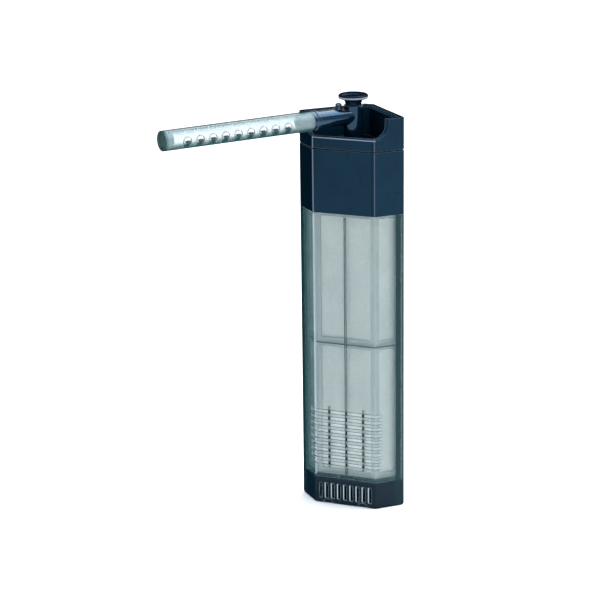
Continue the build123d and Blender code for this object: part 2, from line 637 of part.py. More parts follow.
def make_bobbin(side):
    """Plastic former with two flanges on one leg of the core."""
    front = YOKE_BACK + BOBBIN_END_GAP
    rear = POLE_FRONT - BOBBIN_END_GAP
    bobbin = coil_frame(side, BOBBIN_FIT + BOBBIN_WALL, front, rear)
    bobbin += coil_frame(side, COIL_RISE, front, front + BOBBIN_WALL)
    bobbin += coil_frame(side, COIL_RISE, rear - BOBBIN_WALL, rear)
    return bobbin - coil_frame(side, BOBBIN_FIT, front - CUT, rear + CUT)


def make_winding(side):
    """Copper winding between the flanges of a bobbin."""
    front = YOKE_BACK + BOBBIN_END_GAP + BOBBIN_WALL
    rear = POLE_FRONT - BOBBIN_END_GAP - BOBBIN_WALL
    coil = coil_frame(side, BOBBIN_FIT + BOBBIN_WALL + WINDING_DEPTH, front, rear)
    coil = fillet(coil.edges().filter_by(Axis.Y), WINDING_RADIUS)
    return coil - coil_frame(side, BOBBIN_FIT + BOBBIN_WALL, front - CUT, rear + CUT)


def make_potting_block():
    """Resin poured over the coils."""
    low = CORE_TOP + COIL_RISE
    block_of_resin = shell(low, low + POTTING_THICKNESS, HOUSING_WALL + POTTING_CLEARANCE)
    block_of_resin -= post(WELL_RADIUS + POTTING_CLEARANCE, 0, COVER_TOP, y=ROTOR_Y)
    return block_of_resin - post(DUCT_RADIUS + POTTING_CLEARANCE, 0, COVER_TOP)


def make_cable_gland():
    """Rubber gland in the back flat of the motor housing."""
    inner = BACK_Y - HOUSING_WALL - GLAND_INSIDE
    outer = BACK_Y + GLAND_FLANGE
    gland = post(GLAND_RADIUS, -outer, -inner) + post(GLAND_FLANGE_RADIUS, -outer, -BACK_Y)
    gland -= post(GLAND_BORE, -outer - CUT, -inner + CUT)
    return Pos(0, 0, BAY_FLOOR + GLAND_ABOVE_BAY) * Rot(90, 0, 0) * gland


def make_cover_seal():
    """Flat seal between the motor housing and the top cover."""
    return shell(HOUSING_TOP, COVER_LOW, SEAL_SETBACK) - shell(0, COVER_TOP, HOUSING_WALL)


def make_duct_seal():
    """Flat ring between the duct and the riser."""
    return post(DUCT_RADIUS, HOUSING_TOP, COVER_LOW) - post(DUCT_BORE, 0, COVER_TOP)


def ring_groove(centre_z):
    """Cutter for an O-ring groove in the riser or the valve plug."""
    half = RING_GROOVE_WIDTH / 2
    ring = post(RISER_RADIUS + CUT, centre_z - half, centre_z + half)
    return ring - post(RISER_RADIUS - RING_GROOVE_DEPTH, centre_z - CUT, centre_z + CUT)


def make_ring(centre_z):
    """O-ring that fills its groove and runs in the elbow's bore."""
    return Pos(0, 0, centre_z) * Torus(SOCKET_RADIUS - RING_PLAY - RING_SECTION, RING_SECTION)


def cover_groove():
    """Shallow groove along the land of each glass wall."""
    beyond = -GLASS_WALL
    low = COVER_TOP - GROOVE_DEPTH
    high = COVER_TOP + CUT
    inner = GROOVE_INSET + GROOVE_WIDTH
    strip = prism(low, high, beyond, beyond, GROOVE_INSET, GROOVE_INSET, GROOVE_RADIUS)
    strip -= prism(low - CUT, high + CUT, beyond, beyond, inner, inner, GROOVE_RADIUS)
    return strip & shell(low, high, GROOVE_INSET)


def make_top_cover():
    """Cover with the open recess, cut low at the front, and the riser for the outlet."""
    cover = shell(COVER_LOW, COVER_TOP, 0)
    flat = COVER_LAND + RECESS_RADIUS
    cover -= prism(RECESS_FLOOR, COVER_TOP + CUT, COVER_WALL, COVER_WALL, COVER_LAND, flat, RECESS_RADIUS)
    rim = COVER_LOW + FRONT_RIM_HEIGHT
    cutout = block((-GLASS_WALL, GLASS_WALL), (-GLASS_WALL, CUTOUT_BACK), (rim, COVER_TOP + GLASS_WALL))
    edge = cutout.edges().filter_by(Axis.X).sort_by(lambda item: item.center().Y - item.center().Z)[-1]
    cover -= fillet(edge, CUTOUT_RADIUS)
    cover -= cover_groove()
    cover += post(RISER_RADIUS, RECESS_FLOOR - CUT, RISER_TOP)
    cover -= ring_groove(RISER_TOP - RISER_RING_BELOW_TOP)
    return cover - post(DUCT_BORE, 0, RISER_TOP + CUT)


def rod(radius, start, end):
    """Level cylinder along the arm, between two distances from the swivel axis."""
    return Pos((start + end) / 2, 0, ARM_Z) * Rot(0, 90, 0) * Cylinder(radius, end - start)


def make_outlet_elbow():
    """Swivelling outlet: a barrel on the riser and an arm with a two-ring collar and a nipple."""
    elbow = rod(ARM_RADIUS, 0, ARM_END)
    scoop_z = ARM_Z + ARM_RADIUS + SCOOP_RADIUS - SCOOP_DEPTH
    elbow -= Pos(SCOOP_PLACE, 0, scoop_z) * Rot(90, 0, 0) * Cylinder(SCOOP_RADIUS, 4 * ARM_RADIUS)
    air_top = ARM_Z + AIR_NIPPLE_TOP
    elbow += post(AIR_NIPPLE_RADIUS, ARM_Z, air_top - AIR_NIPPLE_RADIUS / 2, x=AIR_NIPPLE_PLACE)
    dome = Pos(AIR_NIPPLE_PLACE, 0, air_top - AIR_NIPPLE_RADIUS) * Sphere(AIR_NIPPLE_RADIUS)
    elbow += dome
    elbow += post(BARREL_RADIUS, BARREL_LOW, BARREL_TOP)
    elbow += rod(COLLAR_NECK, ARM_END, COLLAR_END)
    elbow += rod(COLLAR_RADIUS, ARM_END, ARM_END + COLLAR_RING)
    elbow += rod(COLLAR_RADIUS, COLLAR_END - COLLAR_RING, COLLAR_END)
    elbow += rod(NIPPLE_RADIUS, COLLAR_END, COLLAR_END + NIPPLE_LENGTH)
    elbow -= rod(ARM_BORE, 0, COLLAR_END + NIPPLE_LENGTH + CUT)
    elbow -= post(AIR_NIPPLE_BORE, ARM_Z, air_top + CUT, x=AIR_NIPPLE_PLACE)
    elbow -= post(SOCKET_RADIUS, 0, BARREL_TOP + CUT)
    return Rot(0, 0, ARM_ANGLE) * elbow


def make_valve_plug():
    """Plug with a side port that opens or closes the arm as the knob turns."""
    low = RISER_TOP + PLUG_LIFT
    high = BARREL_TOP - PLUG_BELOW_BARREL
    plug = post(RISER_RADIUS, low, high)
    plug -= ring_groove(high - PLUG_RING_BELOW_TOP)
    plug -= post(PLUG_PORT, 0, high - PLUG_CAP)
    plug -= rod(PLUG_PORT, 0, 2 * BARREL_RADIUS)
    plug += post(STEM_RADIUS, high, high + STEM_HEIGHT)
    return Rot(0, 0, ARM_ANGLE) * plug


def make_flow_knob():
    """Dished knob on a flared neck."""
    low = BARREL_TOP + KNOB_LIFT
    under = low + KNOB_NECK_HEIGHT
    top = under + KNOB_RIM
    floor = top - KNOB_DISH
    socket = BARREL_TOP - PLUG_BELOW_BARREL + STEM_HEIGHT + STEM_FIT
    with BuildSketch(Plane.XZ) as section:
        with BuildLine():
            Line((0, socket), (STEM_RADIUS + STEM_FIT, socket))
            Line((STEM_RADIUS + STEM_FIT, socket), (STEM_RADIUS + STEM_FIT, low))
            Line((STEM_RADIUS + STEM_FIT, low), (KNOB_NECK, low))
            middle = (KNOB_NECK + KNOB_BOW, (low + under) / 2)
            ThreePointArc((KNOB_NECK, low), middle, (KNOB_WAIST, under))
            Line((KNOB_WAIST, under), (KNOB_RADIUS - KNOB_EDGE, under))
            edge = TangentArc((KNOB_RADIUS - KNOB_EDGE, under), (KNOB_RADIUS, under + KNOB_EDGE), tangent=(1, 0))
            Line(edge @ 1, (KNOB_RADIUS, top - KNOB_LIP))
            rim = TangentArc((KNOB_RADIUS, top - KNOB_LIP), (KNOB_RADIUS - KNOB_LIP, top), tangent=(0, 1))
            dish = TangentArc(rim @ 1, (KNOB_DISH_RADIUS, floor), tangent=(0, -1))
            Line(dish @ 1, (0, floor))
            Line((0, floor), (0, socket))
        make_face()
    return revolve(section.sketch, Axis.Z)


def make_spray_bar():
    """Clear tube with a row of jet holes, closed at its far end by the end cap."""
    tube = rod(BAR_RADIUS, BAR_START, BAR_END) - rod(BAR_BORE, 0, BAR_END + CUT)
    for index in range(HOLE_COUNT):
        place = Pos(BAR_START + HOLE_START + index * HOLE_PITCH, 0, ARM_Z) * Rot(HOLE_ELEVATION, 0, 0)
        tube -= place * Pos(0, BAR_RADIUS, 0) * Rot(90, 0, 0) * Cylinder(HOLE_RADIUS, BAR_RADIUS)
    return Rot(0, 0, ARM_ANGLE) * tube


def make_bar_end_cap():
    """Stopper in the end of the spray bar."""
    cap = rod(BAR_BORE - CAP_FIT, BAR_END - CAP_PLUG, BAR_END)
    cap += rod(BAR_RADIUS, BAR_END, BAR_END + CAP_FLANGE)
    cap -= rod(CAP_DISH_RADIUS, BAR_END + CAP_FLANGE - CAP_DISH_DEPTH, BAR_END + CAP_FLANGE + CUT)
    return Rot(0, 0, ARM_ANGLE) * cap


def build_parts():
    """Every piece of the filter by its node name."""
    parts = {
        "canister": make_canister(),
        "media_grid": make_media_grid(),
        "lower_basket": make_basket(LOWER_BASKET_LOW, LOWER_BASKET_HEIGHT),
        "lower_foam": make_foam(LOWER_BASKET_LOW, LOWER_BASKET_HEIGHT),
        "upper_basket": make_basket(UPPER_BASKET_LOW, UPPER_BASKET_HEIGHT),
        "upper_foam": make_foam(UPPER_BASKET_LOW, UPPER_BASKET_HEIGHT),
        "motor_housing": make_motor_housing(),
        "chamber_cover": make_chamber_cover(),
        "lower_bush": make_lower_bush(),
        "upper_bush": make_upper_bush(),
        "impeller_shaft": make_impeller_shaft(),
        "impeller": make_impeller(),
        "impeller_magnet": make_impeller_magnet(),
        "stator_core": make_stator_core(),
        "potting_block": make_potting_block(),
        "cable_gland": make_cable_gland(),
        "cover_seal": make_cover_seal(),
        "duct_seal": make_duct_seal(),
        "top_cover": make_top_cover(),
        "riser_ring": make_ring(RISER_TOP - RISER_RING_BELOW_TOP),
        "outlet_elbow": make_outlet_elbow(),
        "valve_plug": make_valve_plug(),
        "valve_ring": make_ring(BARREL_TOP - PLUG_BELOW_BARREL - PLUG_RING_BELOW_TOP),
        "flow_knob": make_flow_knob(),
        "spray_bar": make_spray_bar(),
        "bar_end_cap": make_bar_end_cap(),
    }
    for name, side in (("left", -1), ("right", 1)):
        parts["bobbin_" + name] = make_bobbin(side)
        parts["winding_" + name] = make_winding(side)
        parts["latch_" + name] = make_latch(side)
        for level, height in CUP_HEIGHTS.items():
            parts["suction_cup_" + level + "_" + name] = make_suction_cup(side, height)
    return parts


os.makedirs("parts", exist_ok=True)
for node, solid in build_parts().items():
    export_step(solid, "parts/" + node + ".step")
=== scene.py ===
import logging
import math
from dataclasses import dataclass, field
from enum import Enum

import bpy
from mathutils import Matrix, Vector, noise


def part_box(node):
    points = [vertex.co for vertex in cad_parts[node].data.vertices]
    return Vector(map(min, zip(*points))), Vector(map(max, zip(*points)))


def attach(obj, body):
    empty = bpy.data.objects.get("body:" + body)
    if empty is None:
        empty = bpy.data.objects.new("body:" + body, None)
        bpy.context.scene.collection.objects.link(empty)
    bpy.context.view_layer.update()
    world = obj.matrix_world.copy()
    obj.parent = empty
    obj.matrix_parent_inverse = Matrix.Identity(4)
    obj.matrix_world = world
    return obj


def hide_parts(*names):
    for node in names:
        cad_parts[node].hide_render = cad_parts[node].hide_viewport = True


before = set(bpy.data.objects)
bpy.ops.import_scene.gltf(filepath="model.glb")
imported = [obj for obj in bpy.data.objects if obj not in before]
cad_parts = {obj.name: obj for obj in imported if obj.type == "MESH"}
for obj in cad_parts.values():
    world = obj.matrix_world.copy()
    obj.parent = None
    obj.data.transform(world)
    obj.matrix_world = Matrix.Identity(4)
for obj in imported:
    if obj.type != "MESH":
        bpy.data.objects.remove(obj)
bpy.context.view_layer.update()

# Corner power filter: looks, studio and camera. Metres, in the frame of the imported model:
# +Z up, +Y towards the corner of the tank, the origin under the outlet's swivel axis.

LOG = logging.getLogger("filter")
MM = 0.001
Colour = tuple[float, float, float]
Span = tuple[float, float]


class Body(Enum):
    """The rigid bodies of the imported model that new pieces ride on."""

    PUMP_HEAD = "pump_head"
    LOWER_CARTRIDGE = "lower_cartridge"
    UPPER_CARTRIDGE = "upper_cartridge"


class Side(Enum):
    """Left and right of the filter, seen from its front."""

    LEFT = -1
    RIGHT = 1


# ---------------------------------------------------------------- finishes

NOISE_BODY: Span = (0.35, 0.65)    # where most of a noise's values lie
NOISE_WIDE: Span = (0.3, 0.7)      # where nearly all of them lie
EDGE_MASK: Span = (0.985, 0.80)    # how far a rounded normal leans at an edge's border and on its crest
BEVEL_SAMPLES = 6


@dataclass(frozen=True)
class Stripe:
    """Upright box of space in which a moulding shows another colour, such as painted highlights and painted
    shade on a rib or a corner, and the dark joint between the baskets.

    Attributes:
        across: its span along X.
        depth: its span along Y.
        height: its span along Z.
        colour: what shows inside it.
        strength: how much of that colour shows.
        blur: width of its soft border, inside the box.
    """

    across: Span
    depth: Span
    height: Span
    colour: Colour
    strength: float = 1.0
    blur: float = 0.2 * MM


class Shader:
    """Writes the node tree of one material."""

    def __init__(self, name: str) -> None:
        """Starts an empty material.

        Args:
            name: the material's name.
        """
        self.material = bpy.data.materials.new(name)
        self.material.use_nodes = True
        self.tree = self.material.node_tree
        self.tree.nodes.clear()
        self.surface = self.tree.nodes.new("ShaderNodeOutputMaterial")
        self.principled = self.tree.nodes.new("ShaderNodeBsdfPrincipled")
        self.tree.links.new(self.principled.outputs[0], self.surface.inputs[0])
        self.place = self.tree.nodes.new("ShaderNodeTexCoord").outputs["Object"]

    def node(self, kind: str, settings: dict | None = None, **inputs: object) -> bpy.types.Node:
        """Adds a node.

        Args:
            kind: the node's type, without the word ShaderNode.
            settings: the node's own properties.
            **inputs: socket name, with _ for a space, to a value or to the socket that feeds it.

        Returns:
            The new node.
        """
        made = self.tree.nodes.new("ShaderNode" + kind)
        for key, value in (settings or {}).items():
            setattr(made, key, value)
        for key, value in inputs.items():
            self.feed(made, key.replace("_", " "), value)
        return made

    def feed(self, node: bpy.types.Node, socket: str | int, value: object) -> None:
        """Sets or links one input.

        Args:
            node: the node that is fed.
            socket: the name or the number of its input.
            value: a number, a colour, or the output socket to link.
        """
        target = node.inputs[socket]
        if isinstance(value, bpy.types.NodeSocket):
            self.tree.links.new(value, target)
        elif isinstance(value, tuple) and target.type == "RGBA":
            target.default_value = (*value, 1.0) if len(value) == 3 else value
        else:
            target.default_value = value

    def shade(self, **inputs: object) -> None:
        """Sets or links the shader's own sockets.

        Args:
            **inputs: socket name, with _ for a space, to a value or a socket.
        """
        for key, value in inputs.items():
            self.feed(self.principled, key.replace("_", " "), value)

    def maths(self, operation: str, first: object, second: object,
              clamp: bool = False) -> bpy.types.NodeSocket:
        """Adds a Math node.

        Args:
            operation: Blender's name of the operation.
            first: first value or socket.
            second: second value or socket.
            clamp: whether the result is held between 0 and 1.

        Returns:
            The result's socket.
        """
        made = self.tree.nodes.new("ShaderNodeMath")
        made.operation = operation
        made.use_clamp = clamp
        self.feed(made, 0, first)
        self.feed(made, 1, second)
        return made.outputs[0]

    def noise(self, size: float, detail: float = 3.0) -> bpy.types.NodeSocket:
        """Cloudy noise with features of a given size.

        Args:
            size: the size of a feature in metres.
            detail: how much finer noise lies over it.

        Returns:
            The socket of its value, from 0 to 1.
        """
        return self.node("TexNoise", Vector=self.place, Scale=1.0 / size, Detail=detail).outputs[0]

    def ramp(self, value: bpy.types.NodeSocket, low: float, high: float,
             from_value: float, to_value: float) -> bpy.types.NodeSocket:
        """Maps a value from one range to another and holds it there.

        Args:
            value: the socket to map.
            low: where the first range starts.
            high: where it ends.
            from_value: what low becomes.
            to_value: what high becomes.

        Returns:
            The mapped value's socket.
        """
        made = self.node("MapRange")
        for index, item in enumerate((value, low, high, from_value, to_value)):
            self.feed(made, index, item)
        return made.outputs[0]

    def mix(self, amount: object, first: object, second: object) -> bpy.types.NodeSocket:
        """Mixes two colours.

        Args:
            amount: how much of the second colour shows.
            first: first colour or socket.
            second: second colour or socket.

        Returns:
            The mixed colour's socket.
        """
        made = self.tree.nodes.new("ShaderNodeMix")
        made.data_type = "RGBA"
        self.feed(made, 0, amount)
        self.feed(made, 6, first)
        self.feed(made, 7, second)
        return made.outputs[2]

    def edges(self, radius: float) -> tuple[bpy.types.NodeSocket, bpy.types.NodeSocket]:
        """Rounds the edges in the shading and finds them.

        Args:
            radius: the edge's radius in metres.

        Returns:
            The rounded normal, and a mask that is 1 on an edge and 0 on a flat.
        """
        bevel = self.node("Bevel", {"samples": BEVEL_SAMPLES}, Radius=radius).outputs[0]
        flat = self.tree.nodes.new("ShaderNodeNewGeometry").outputs["Normal"]
        dot = self.tree.nodes.new("ShaderNodeVectorMath")
        dot.operation = "DOT_PRODUCT"
        self.feed(dot, 0, bevel)
        self.feed(dot, 1, flat)
        mask = self.ramp(dot.outputs["Value"], *EDGE_MASK, 0.0, 1.0)
        return bevel, mask

    def slant(self) -> bpy.types.NodeSocket:
        """How far the surface turns away from the eye, as a socket: 0 face on, 1 edge on."""
        return self.node("LayerWeight", Blend=0.5).outputs["Facing"]

    def stripe(self, stripe: Stripe) -> bpy.types.NodeSocket:
        """Mask of one stripe.

        Args:
            stripe: the upright box of space that it fills.

        Returns:
            The socket of a value that is the stripe's strength inside it and 0 outside it.
        """
        place = self.node("SeparateXYZ", Vector=self.place).outputs
        mask = stripe.strength
        for axis, (low, high) in (("X", stripe.across), ("Y", stripe.depth), ("Z", stripe.height)):
            away = self.maths("ABSOLUTE", self.maths("SUBTRACT", place[axis], (low + high) / 2), 0.0)
            half = (high - low) / 2
            mask = self.maths("MULTIPLY", mask, self.ramp(away, half - stripe.blur, half, 1.0, 0.0))
        return mask

    def bump(self, height: bpy.types.NodeSocket, depth: float,
             normal: bpy.types.NodeSocket | None = None) -> bpy.types.NodeSocket:
        """Turns a height into a normal.

        Args:
            height: the height, from 0 to 1.
            depth: how deep it is, in metres.
            normal: the normal that it stands on, if it isn't the surface's own.

        Returns:
            The normal's socket.
        """
        made = self.node("Bump", Strength=1.0, Distance=depth, Height=height)
        if normal is not None:
            self.feed(made, "Normal", normal)
        return made.outputs[0]


@dataclass(frozen=True)
class MouldedPlastic:
    """Opaque injection-moulded plastic with a fine skin, a painted highlight along its edges, painted shade
    on faces turned from the eye, and stripes of painted light.
    """

    name: str
    colour: Colour
    # Colour of the painted highlight along the edges
    edge_colour: Colour
    roughness: float = 0.3
    specular: float = 0.2
    specular_tint: Colour = (1.0, 1.0, 1.0)
    slant_gloss: float = 0.0
    edge_radius: float = 0.35 * MM
    # How strongly the painted highlight along the edges shows
    edge_highlight: float = 0.6
    grain: float = 0.45 * MM
    grain_depth: float = 0.004 * MM
    # Painted shade: how far the colour darkens on faces turned away from the eye
    slant_shade: float = 1.0
    shade_slant: Span = (0.3, 0.6)
    gloss_slant: Span = (0.1, 0.6)
    cloud: float = 14 * MM
    cloud_shade: float = 0.82
    haze: float = 9 * MM
    # Size of the noise that breaks up the painted edge highlight
    glint: float = 3 * MM
    stripes: tuple[Stripe, ...] = ()

    def material(self) -> bpy.types.Material:
        """Builds the material.

        Returns:
            The material.
        """
        shader = Shader(self.name)
        rounded, edge = shader.edges(self.edge_radius)
        cloud = shader.noise(self.cloud, 4.0)
        fine = shader.noise(self.grain, 2.0)
        deep = tuple(channel * self.cloud_shade for channel in self.colour)
        body = shader.mix(shader.ramp(cloud, *NOISE_BODY, 0.0, 1.0), self.colour, deep)
        # Painted shade on faces turned away from the eye
        shadow = tuple(channel * self.slant_shade for channel in self.colour)
        body = shader.mix(shader.ramp(shader.slant(), *self.shade_slant, 0.0, 1.0), body, shadow)
        # Painted highlight along the edges, broken up by noise
        glint = shader.maths("MULTIPLY", edge, shader.ramp(shader.noise(self.glint, 4.0), 0.3, 0.6, 0.75, 1.0))
        with_painted_light = shader.mix(shader.maths("MULTIPLY", glint, self.edge_highlight), body, self.edge_colour)
        # Stripes of painted highlight and painted shade
        for stripe in self.stripes:
            with_painted_light = shader.mix(shader.stripe(stripe), with_painted_light, stripe.colour)
        haze = shader.noise(self.haze, 2.0)
        rough = shader.ramp(haze, *NOISE_WIDE, self.roughness * 0.9, self.roughness * 1.1)
        gloss = shader.ramp(shader.slant(), *self.gloss_slant, self.specular, self.slant_gloss)
        shader.shade(Base_Color=with_painted_light, Roughness=rough, Specular_IOR_Level=gloss,
                     Specular_Tint=self.specular_tint, Normal=shader.bump(fine, self.grain_depth, rounded))
        return shader.material


@dataclass(frozen=True)
class ClearPlastic:
    """Clear tinted plastic: light goes through it face on, and its outline looks deep."""

    name: str
    tint: Colour
    deep: Colour
    edge_colour: Colour
    facing: float
    grazing: float
    falloff: float = 2.2
    roughness: float = 0.06
    specular: float = 0.5
    edge_radius: float = 0.3 * MM
    edge_opacity: float = 0.5
    foot_height: float = 0.0
    foot_blur: float = 1.0 * MM
    foot_colour: Colour = (0.0, 0.0, 0.0)
    foot_opacity: float = 0.0
    shade_slant: Span = (0.1, 0.65)
    gloss_slant: Span = (0.15, 0.6)
    streak: float = 22 * MM
    haze: float = 6 * MM
    flow: float = 9 * MM
    flow_depth: float = 0.02 * MM
    stripes: tuple[Stripe, ...] = ()

    def material(self) -> bpy.types.Material:
        """Builds the material.

        Returns:
            The material.
        """
        shader = Shader(self.name)
        rounded, edge = shader.edges(self.edge_radius)
        steep = shader.maths("POWER", shader.slant(), self.falloff)
        streak = shader.ramp(shader.noise(self.streak, 3.0), *NOISE_WIDE, 0.92, 1.08)
        cover = shader.ramp(steep, 0.0, 1.0, self.facing, self.grazing)
        cover = shader.maths("MULTIPLY", cover, streak, clamp=True)
        shade = shader.mix(shader.ramp(steep, *self.shade_slant, 0.0, 1.0), self.tint, self.deep)
        # A darker band below the foot height; on the spray bar it is painted shade along its lower side
        if self.foot_height:
            height = shader.node("SeparateXYZ", Vector=shader.place).outputs["Z"]
            low, high = self.foot_height - self.foot_blur, self.foot_height + self.foot_blur
            foot = shader.ramp(height, low, high, 1.0, 0.0)
            cover = shader.maths("MAXIMUM", cover, shader.maths("MULTIPLY", foot, self.foot_opacity))
            shade = shader.mix(foot, shade, self.foot_colour)
        # The edge colour is painted light along the edges: a highlight on the canister, shade on the spray
        # bar
        shade = shader.mix(edge, shade, self.edge_colour)
        cover = shader.maths("MAXIMUM", cover, shader.maths("MULTIPLY", edge, self.edge_opacity))
        # Stripes of painted highlight and painted shade, and the baskets' dark joint
        for stripe in self.stripes:
            mask = shader.stripe(stripe)
            cover = shader.maths("MAXIMUM", cover, mask)
            shade = shader.mix(mask, shade, stripe.colour)
        haze = shader.noise(self.haze, 4.0)
        rough = shader.ramp(haze, *NOISE_WIDE, self.roughness * 0.7, self.roughness * 1.4)
        gloss = shader.ramp(shader.slant(), *self.gloss_slant, self.specular, 0.0)
        flow = shader.bump(shader.noise(self.flow, 2.0), self.flow_depth, rounded)
        shader.shade(Base_Color=shade, Roughness=rough, Specular_IOR_Level=gloss, Alpha=cover, Normal=flow)
        return shader.material


@dataclass(frozen=True)
class FilterFoam:
    """Open-cell foam: pale struts round small cells darkened with painted shade."""

    name: str
    colour: Colour
    cell_shade_colour: Colour
    cell: float = 1.1 * MM
    depth: float = 0.25 * MM
    patch: float = 12 * MM

    def material(self) -> bpy.types.Material:
        """Builds the material.

        Returns:
            The material.
        """
        shader = Shader(self.name)
        cells = shader.node("TexVoronoi", Vector=shader.place, Scale=1.0 / self.cell, Randomness=1.0)
        gap = shader.ramp(cells.outputs["Distance"], 0.25, 0.75, 1.0, 0.0)
        patch = shader.ramp(shader.noise(self.patch, 3.0), *NOISE_BODY, 0.0, 0.35)
        # Painted shade in the open cells
        shade = shader.mix(shader.maths("MULTIPLY", gap, 0.55), self.colour, self.cell_shade_colour)
        shade = shader.mix(patch, shade, tuple(channel * 0.93 for channel in self.colour))
        shader.shade(Base_Color=shade, Roughness=0.95, Specular_IOR_Level=0.1, Sheen_Weight=0.15,
                     Normal=shader.bump(cells.outputs["Distance"], self.depth))
        return shader.material


@dataclass(frozen=True)
class SoftRubber:
    """Dark rubber with a slight bloom, and a painted highlight along its edges."""

    name: str
    colour: Colour
    roughness: float = 0.42
    specular: float = 0.3
    edge_radius: float = 0.25 * MM
    bloom: float = 4 * MM
    grain: float = 0.6 * MM
    grain_depth: float = 0.01 * MM

    def material(self) -> bpy.types.Material:
        """Builds the material.

        Returns:
            The material.
        """
        shader = Shader(self.name)
        rounded, edge = shader.edges(self.edge_radius)
        bloom = shader.ramp(shader.noise(self.bloom, 5.0), 0.4, 0.75, 0.0, 0.5)
        # The bloom is the rubber's own; the paler edges are a painted highlight
        pale = tuple(channel * 1.8 + 0.002 for channel in self.colour)
        with_painted_light = shader.maths("MAXIMUM", bloom, shader.maths("MULTIPLY", edge, 0.6))
        shade = shader.mix(with_painted_light, self.colour, pale)
        rough = shader.ramp(bloom, 0.0, 0.5, self.roughness, self.roughness * 1.3)
        fine = shader.bump(shader.noise(self.grain, 3.0), self.grain_depth, rounded)
        shader.shade(Base_Color=shade, Roughness=rough, Specular_IOR_Level=self.specular, Normal=fine)
        return shader.material


class Lay(Enum):
    """Which way the marks on a ground or stacked surface run."""

    ROUND = (0.4, 0.4, 30.0)
    STACKED = (0.02, 0.02, 2.0)


@dataclass(frozen=True)
class GroundSolid:
    """Ground ceramic, ferrite or stacked steel, with marks that run one way and a painted highlight along its
    edges.
    """

    name: str
    colour: Colour
    mark_colour: Colour
    metallic: float
    roughness: float
    lay: Lay
    pitch: float = 0.5 * MM
    mark_depth: float = 0.01 * MM
    edge_radius: float = 0.2 * MM

    def material(self) -> bpy.types.Material:
        """Builds the material.

        Returns:
            The material.
        """
        shader = Shader(self.name)
        rounded, edge = shader.edges(self.edge_radius)
        stretch = shader.node("Mapping", Vector=shader.place, Scale=Vector(self.lay.value))
        texture = shader.node("TexNoise", Vector=stretch.outputs[0], Scale=1.0 / self.pitch, Detail=3.0)
        marks = texture.outputs[0]
        shade = shader.mix(shader.ramp(marks, *NOISE_BODY, 0.0, 1.0), self.colour, self.mark_colour)
        # Painted highlight along the edges
        edge_highlight_colour = tuple(min(1.0, channel * 1.4) for channel in self.colour)
        shade = shader.mix(shader.maths("MULTIPLY", edge, 0.5), shade, edge_highlight_colour)
        rough = shader.ramp(marks, *NOISE_WIDE, self.roughness * 0.8, self.roughness * 1.2)
        shader.shade(Base_Color=shade, Roughness=rough, Metallic=self.metallic,
                     Normal=shader.bump(marks, self.mark_depth, rounded))
        return shader.material


@dataclass(frozen=True)
class StudioPaper:
    """Plain pale paper of the studio's floor."""

    name: str
    colour: Colour
    cloud: float = 0.3
    cloud_shade: float = 0.985

    def material(self) -> bpy.types.Material:
        """Builds the material.

        Returns:
            The material.
        """
        shader = Shader(self.name)
        tone = tuple(channel * self.cloud_shade for channel in self.colour)
        shade = shader.mix(shader.noise(self.cloud, 2.0), self.colour, tone)
        shader.shade(Base_Color=shade, Roughness=0.95, Specular_IOR_Level=0.0)
        return shader.material


# Colours that more than one finish uses
# Painted shade on the canister's ribs and sides
SHADE_TEAL = (0.003, 0.020, 0.026)
# Painted highlight on corners and rims
PAINTED_HIGHLIGHT = (0.34, 0.40, 0.50)
BAR_DEEP = (0.006, 0.028, 0.032)
# Painted shade along the spray bar's edges
BAR_EDGE_SHADE = (0.012, 0.05, 0.058)
INK_NAVY = (0.0015, 0.008, 0.017)
# Painted highlight along the navy edges
EDGE_HIGHLIGHT_NAVY = (0.30, 0.38, 0.50)

# Canister: painted shade on the ribs behind its front wall and on its sides, a painted highlight on a corner,
# and painted highlights on the lips at its foot slots
WHOLE_WIDTH = (-40 * MM, 40 * MM)
CORNER_DEPTH = (-19.5 * MM, -16.5 * MM)
RIB_DEPTH = (-17.7 * MM, -16.2 * MM)
RIB_HALF = 0.8 * MM
MIDDLE_RIB = (18 * MM, 198 * MM)
GRILLE_RIB = (25 * MM, 68 * MM)
# Painted shade on the ribs
RIB_SHADE_LINES = tuple(Stripe((place - RIB_HALF, place + RIB_HALF), RIB_DEPTH, height, SHADE_TEAL)
             for place, height in ((0.0, MIDDLE_RIB), (-12 * MM, GRILLE_RIB), (12 * MM, GRILLE_RIB)))
BAND_DEPTH = (-16 * MM, 6 * MM)
BAND_HEIGHT = (-MM, 201 * MM)
# Painted shade on the sides
SIDE_SHADE_BANDS = (Stripe((-40 * MM, -31.8 * MM), BAND_DEPTH, BAND_HEIGHT, SHADE_TEAL, 0.96, 0.7 * MM),
              Stripe((35.0 * MM, 40 * MM), BAND_DEPTH, BAND_HEIGHT, SHADE_TEAL, 0.96, 0.3 * MM),
              Stripe((31.6 * MM, 34.6 * MM), BAND_DEPTH, BAND_HEIGHT, SHADE_TEAL, 0.95, 0.4 * MM))
# Painted highlight on a corner
LOWER_CORNER_HIGHLIGHT = Stripe((-21.5 * MM, -20.3 * MM), CORNER_DEPTH, (20 * MM, 200 * MM), (0.50, 0.60, 0.72), 0.7)
SLOT_PITCH = 4.4 * MM
LIPS_LEFT = 3                      # lips to the left of the middle slot's
LIP_COUNT = 8
SLOT_LIP = (-1.65 * MM, -0.9 * MM)
SLOT_DEPTH = (-20 * MM, -18 * MM)
SLOT_HEIGHT = (3.8 * MM, 14.6 * MM)
# Painted highlights on the lips of the foot slots
SLOT_LIP_HIGHLIGHTS = tuple(Stripe((place + SLOT_LIP[0], place + SLOT_LIP[1]), SLOT_DEPTH, SLOT_HEIGHT,
                         (0.55, 0.68, 0.78), strength=0.8, blur=0.15 * MM)
                  for place in (SLOT_PITCH * (index - LIPS_LEFT) for index in range(LIP_COUNT)))
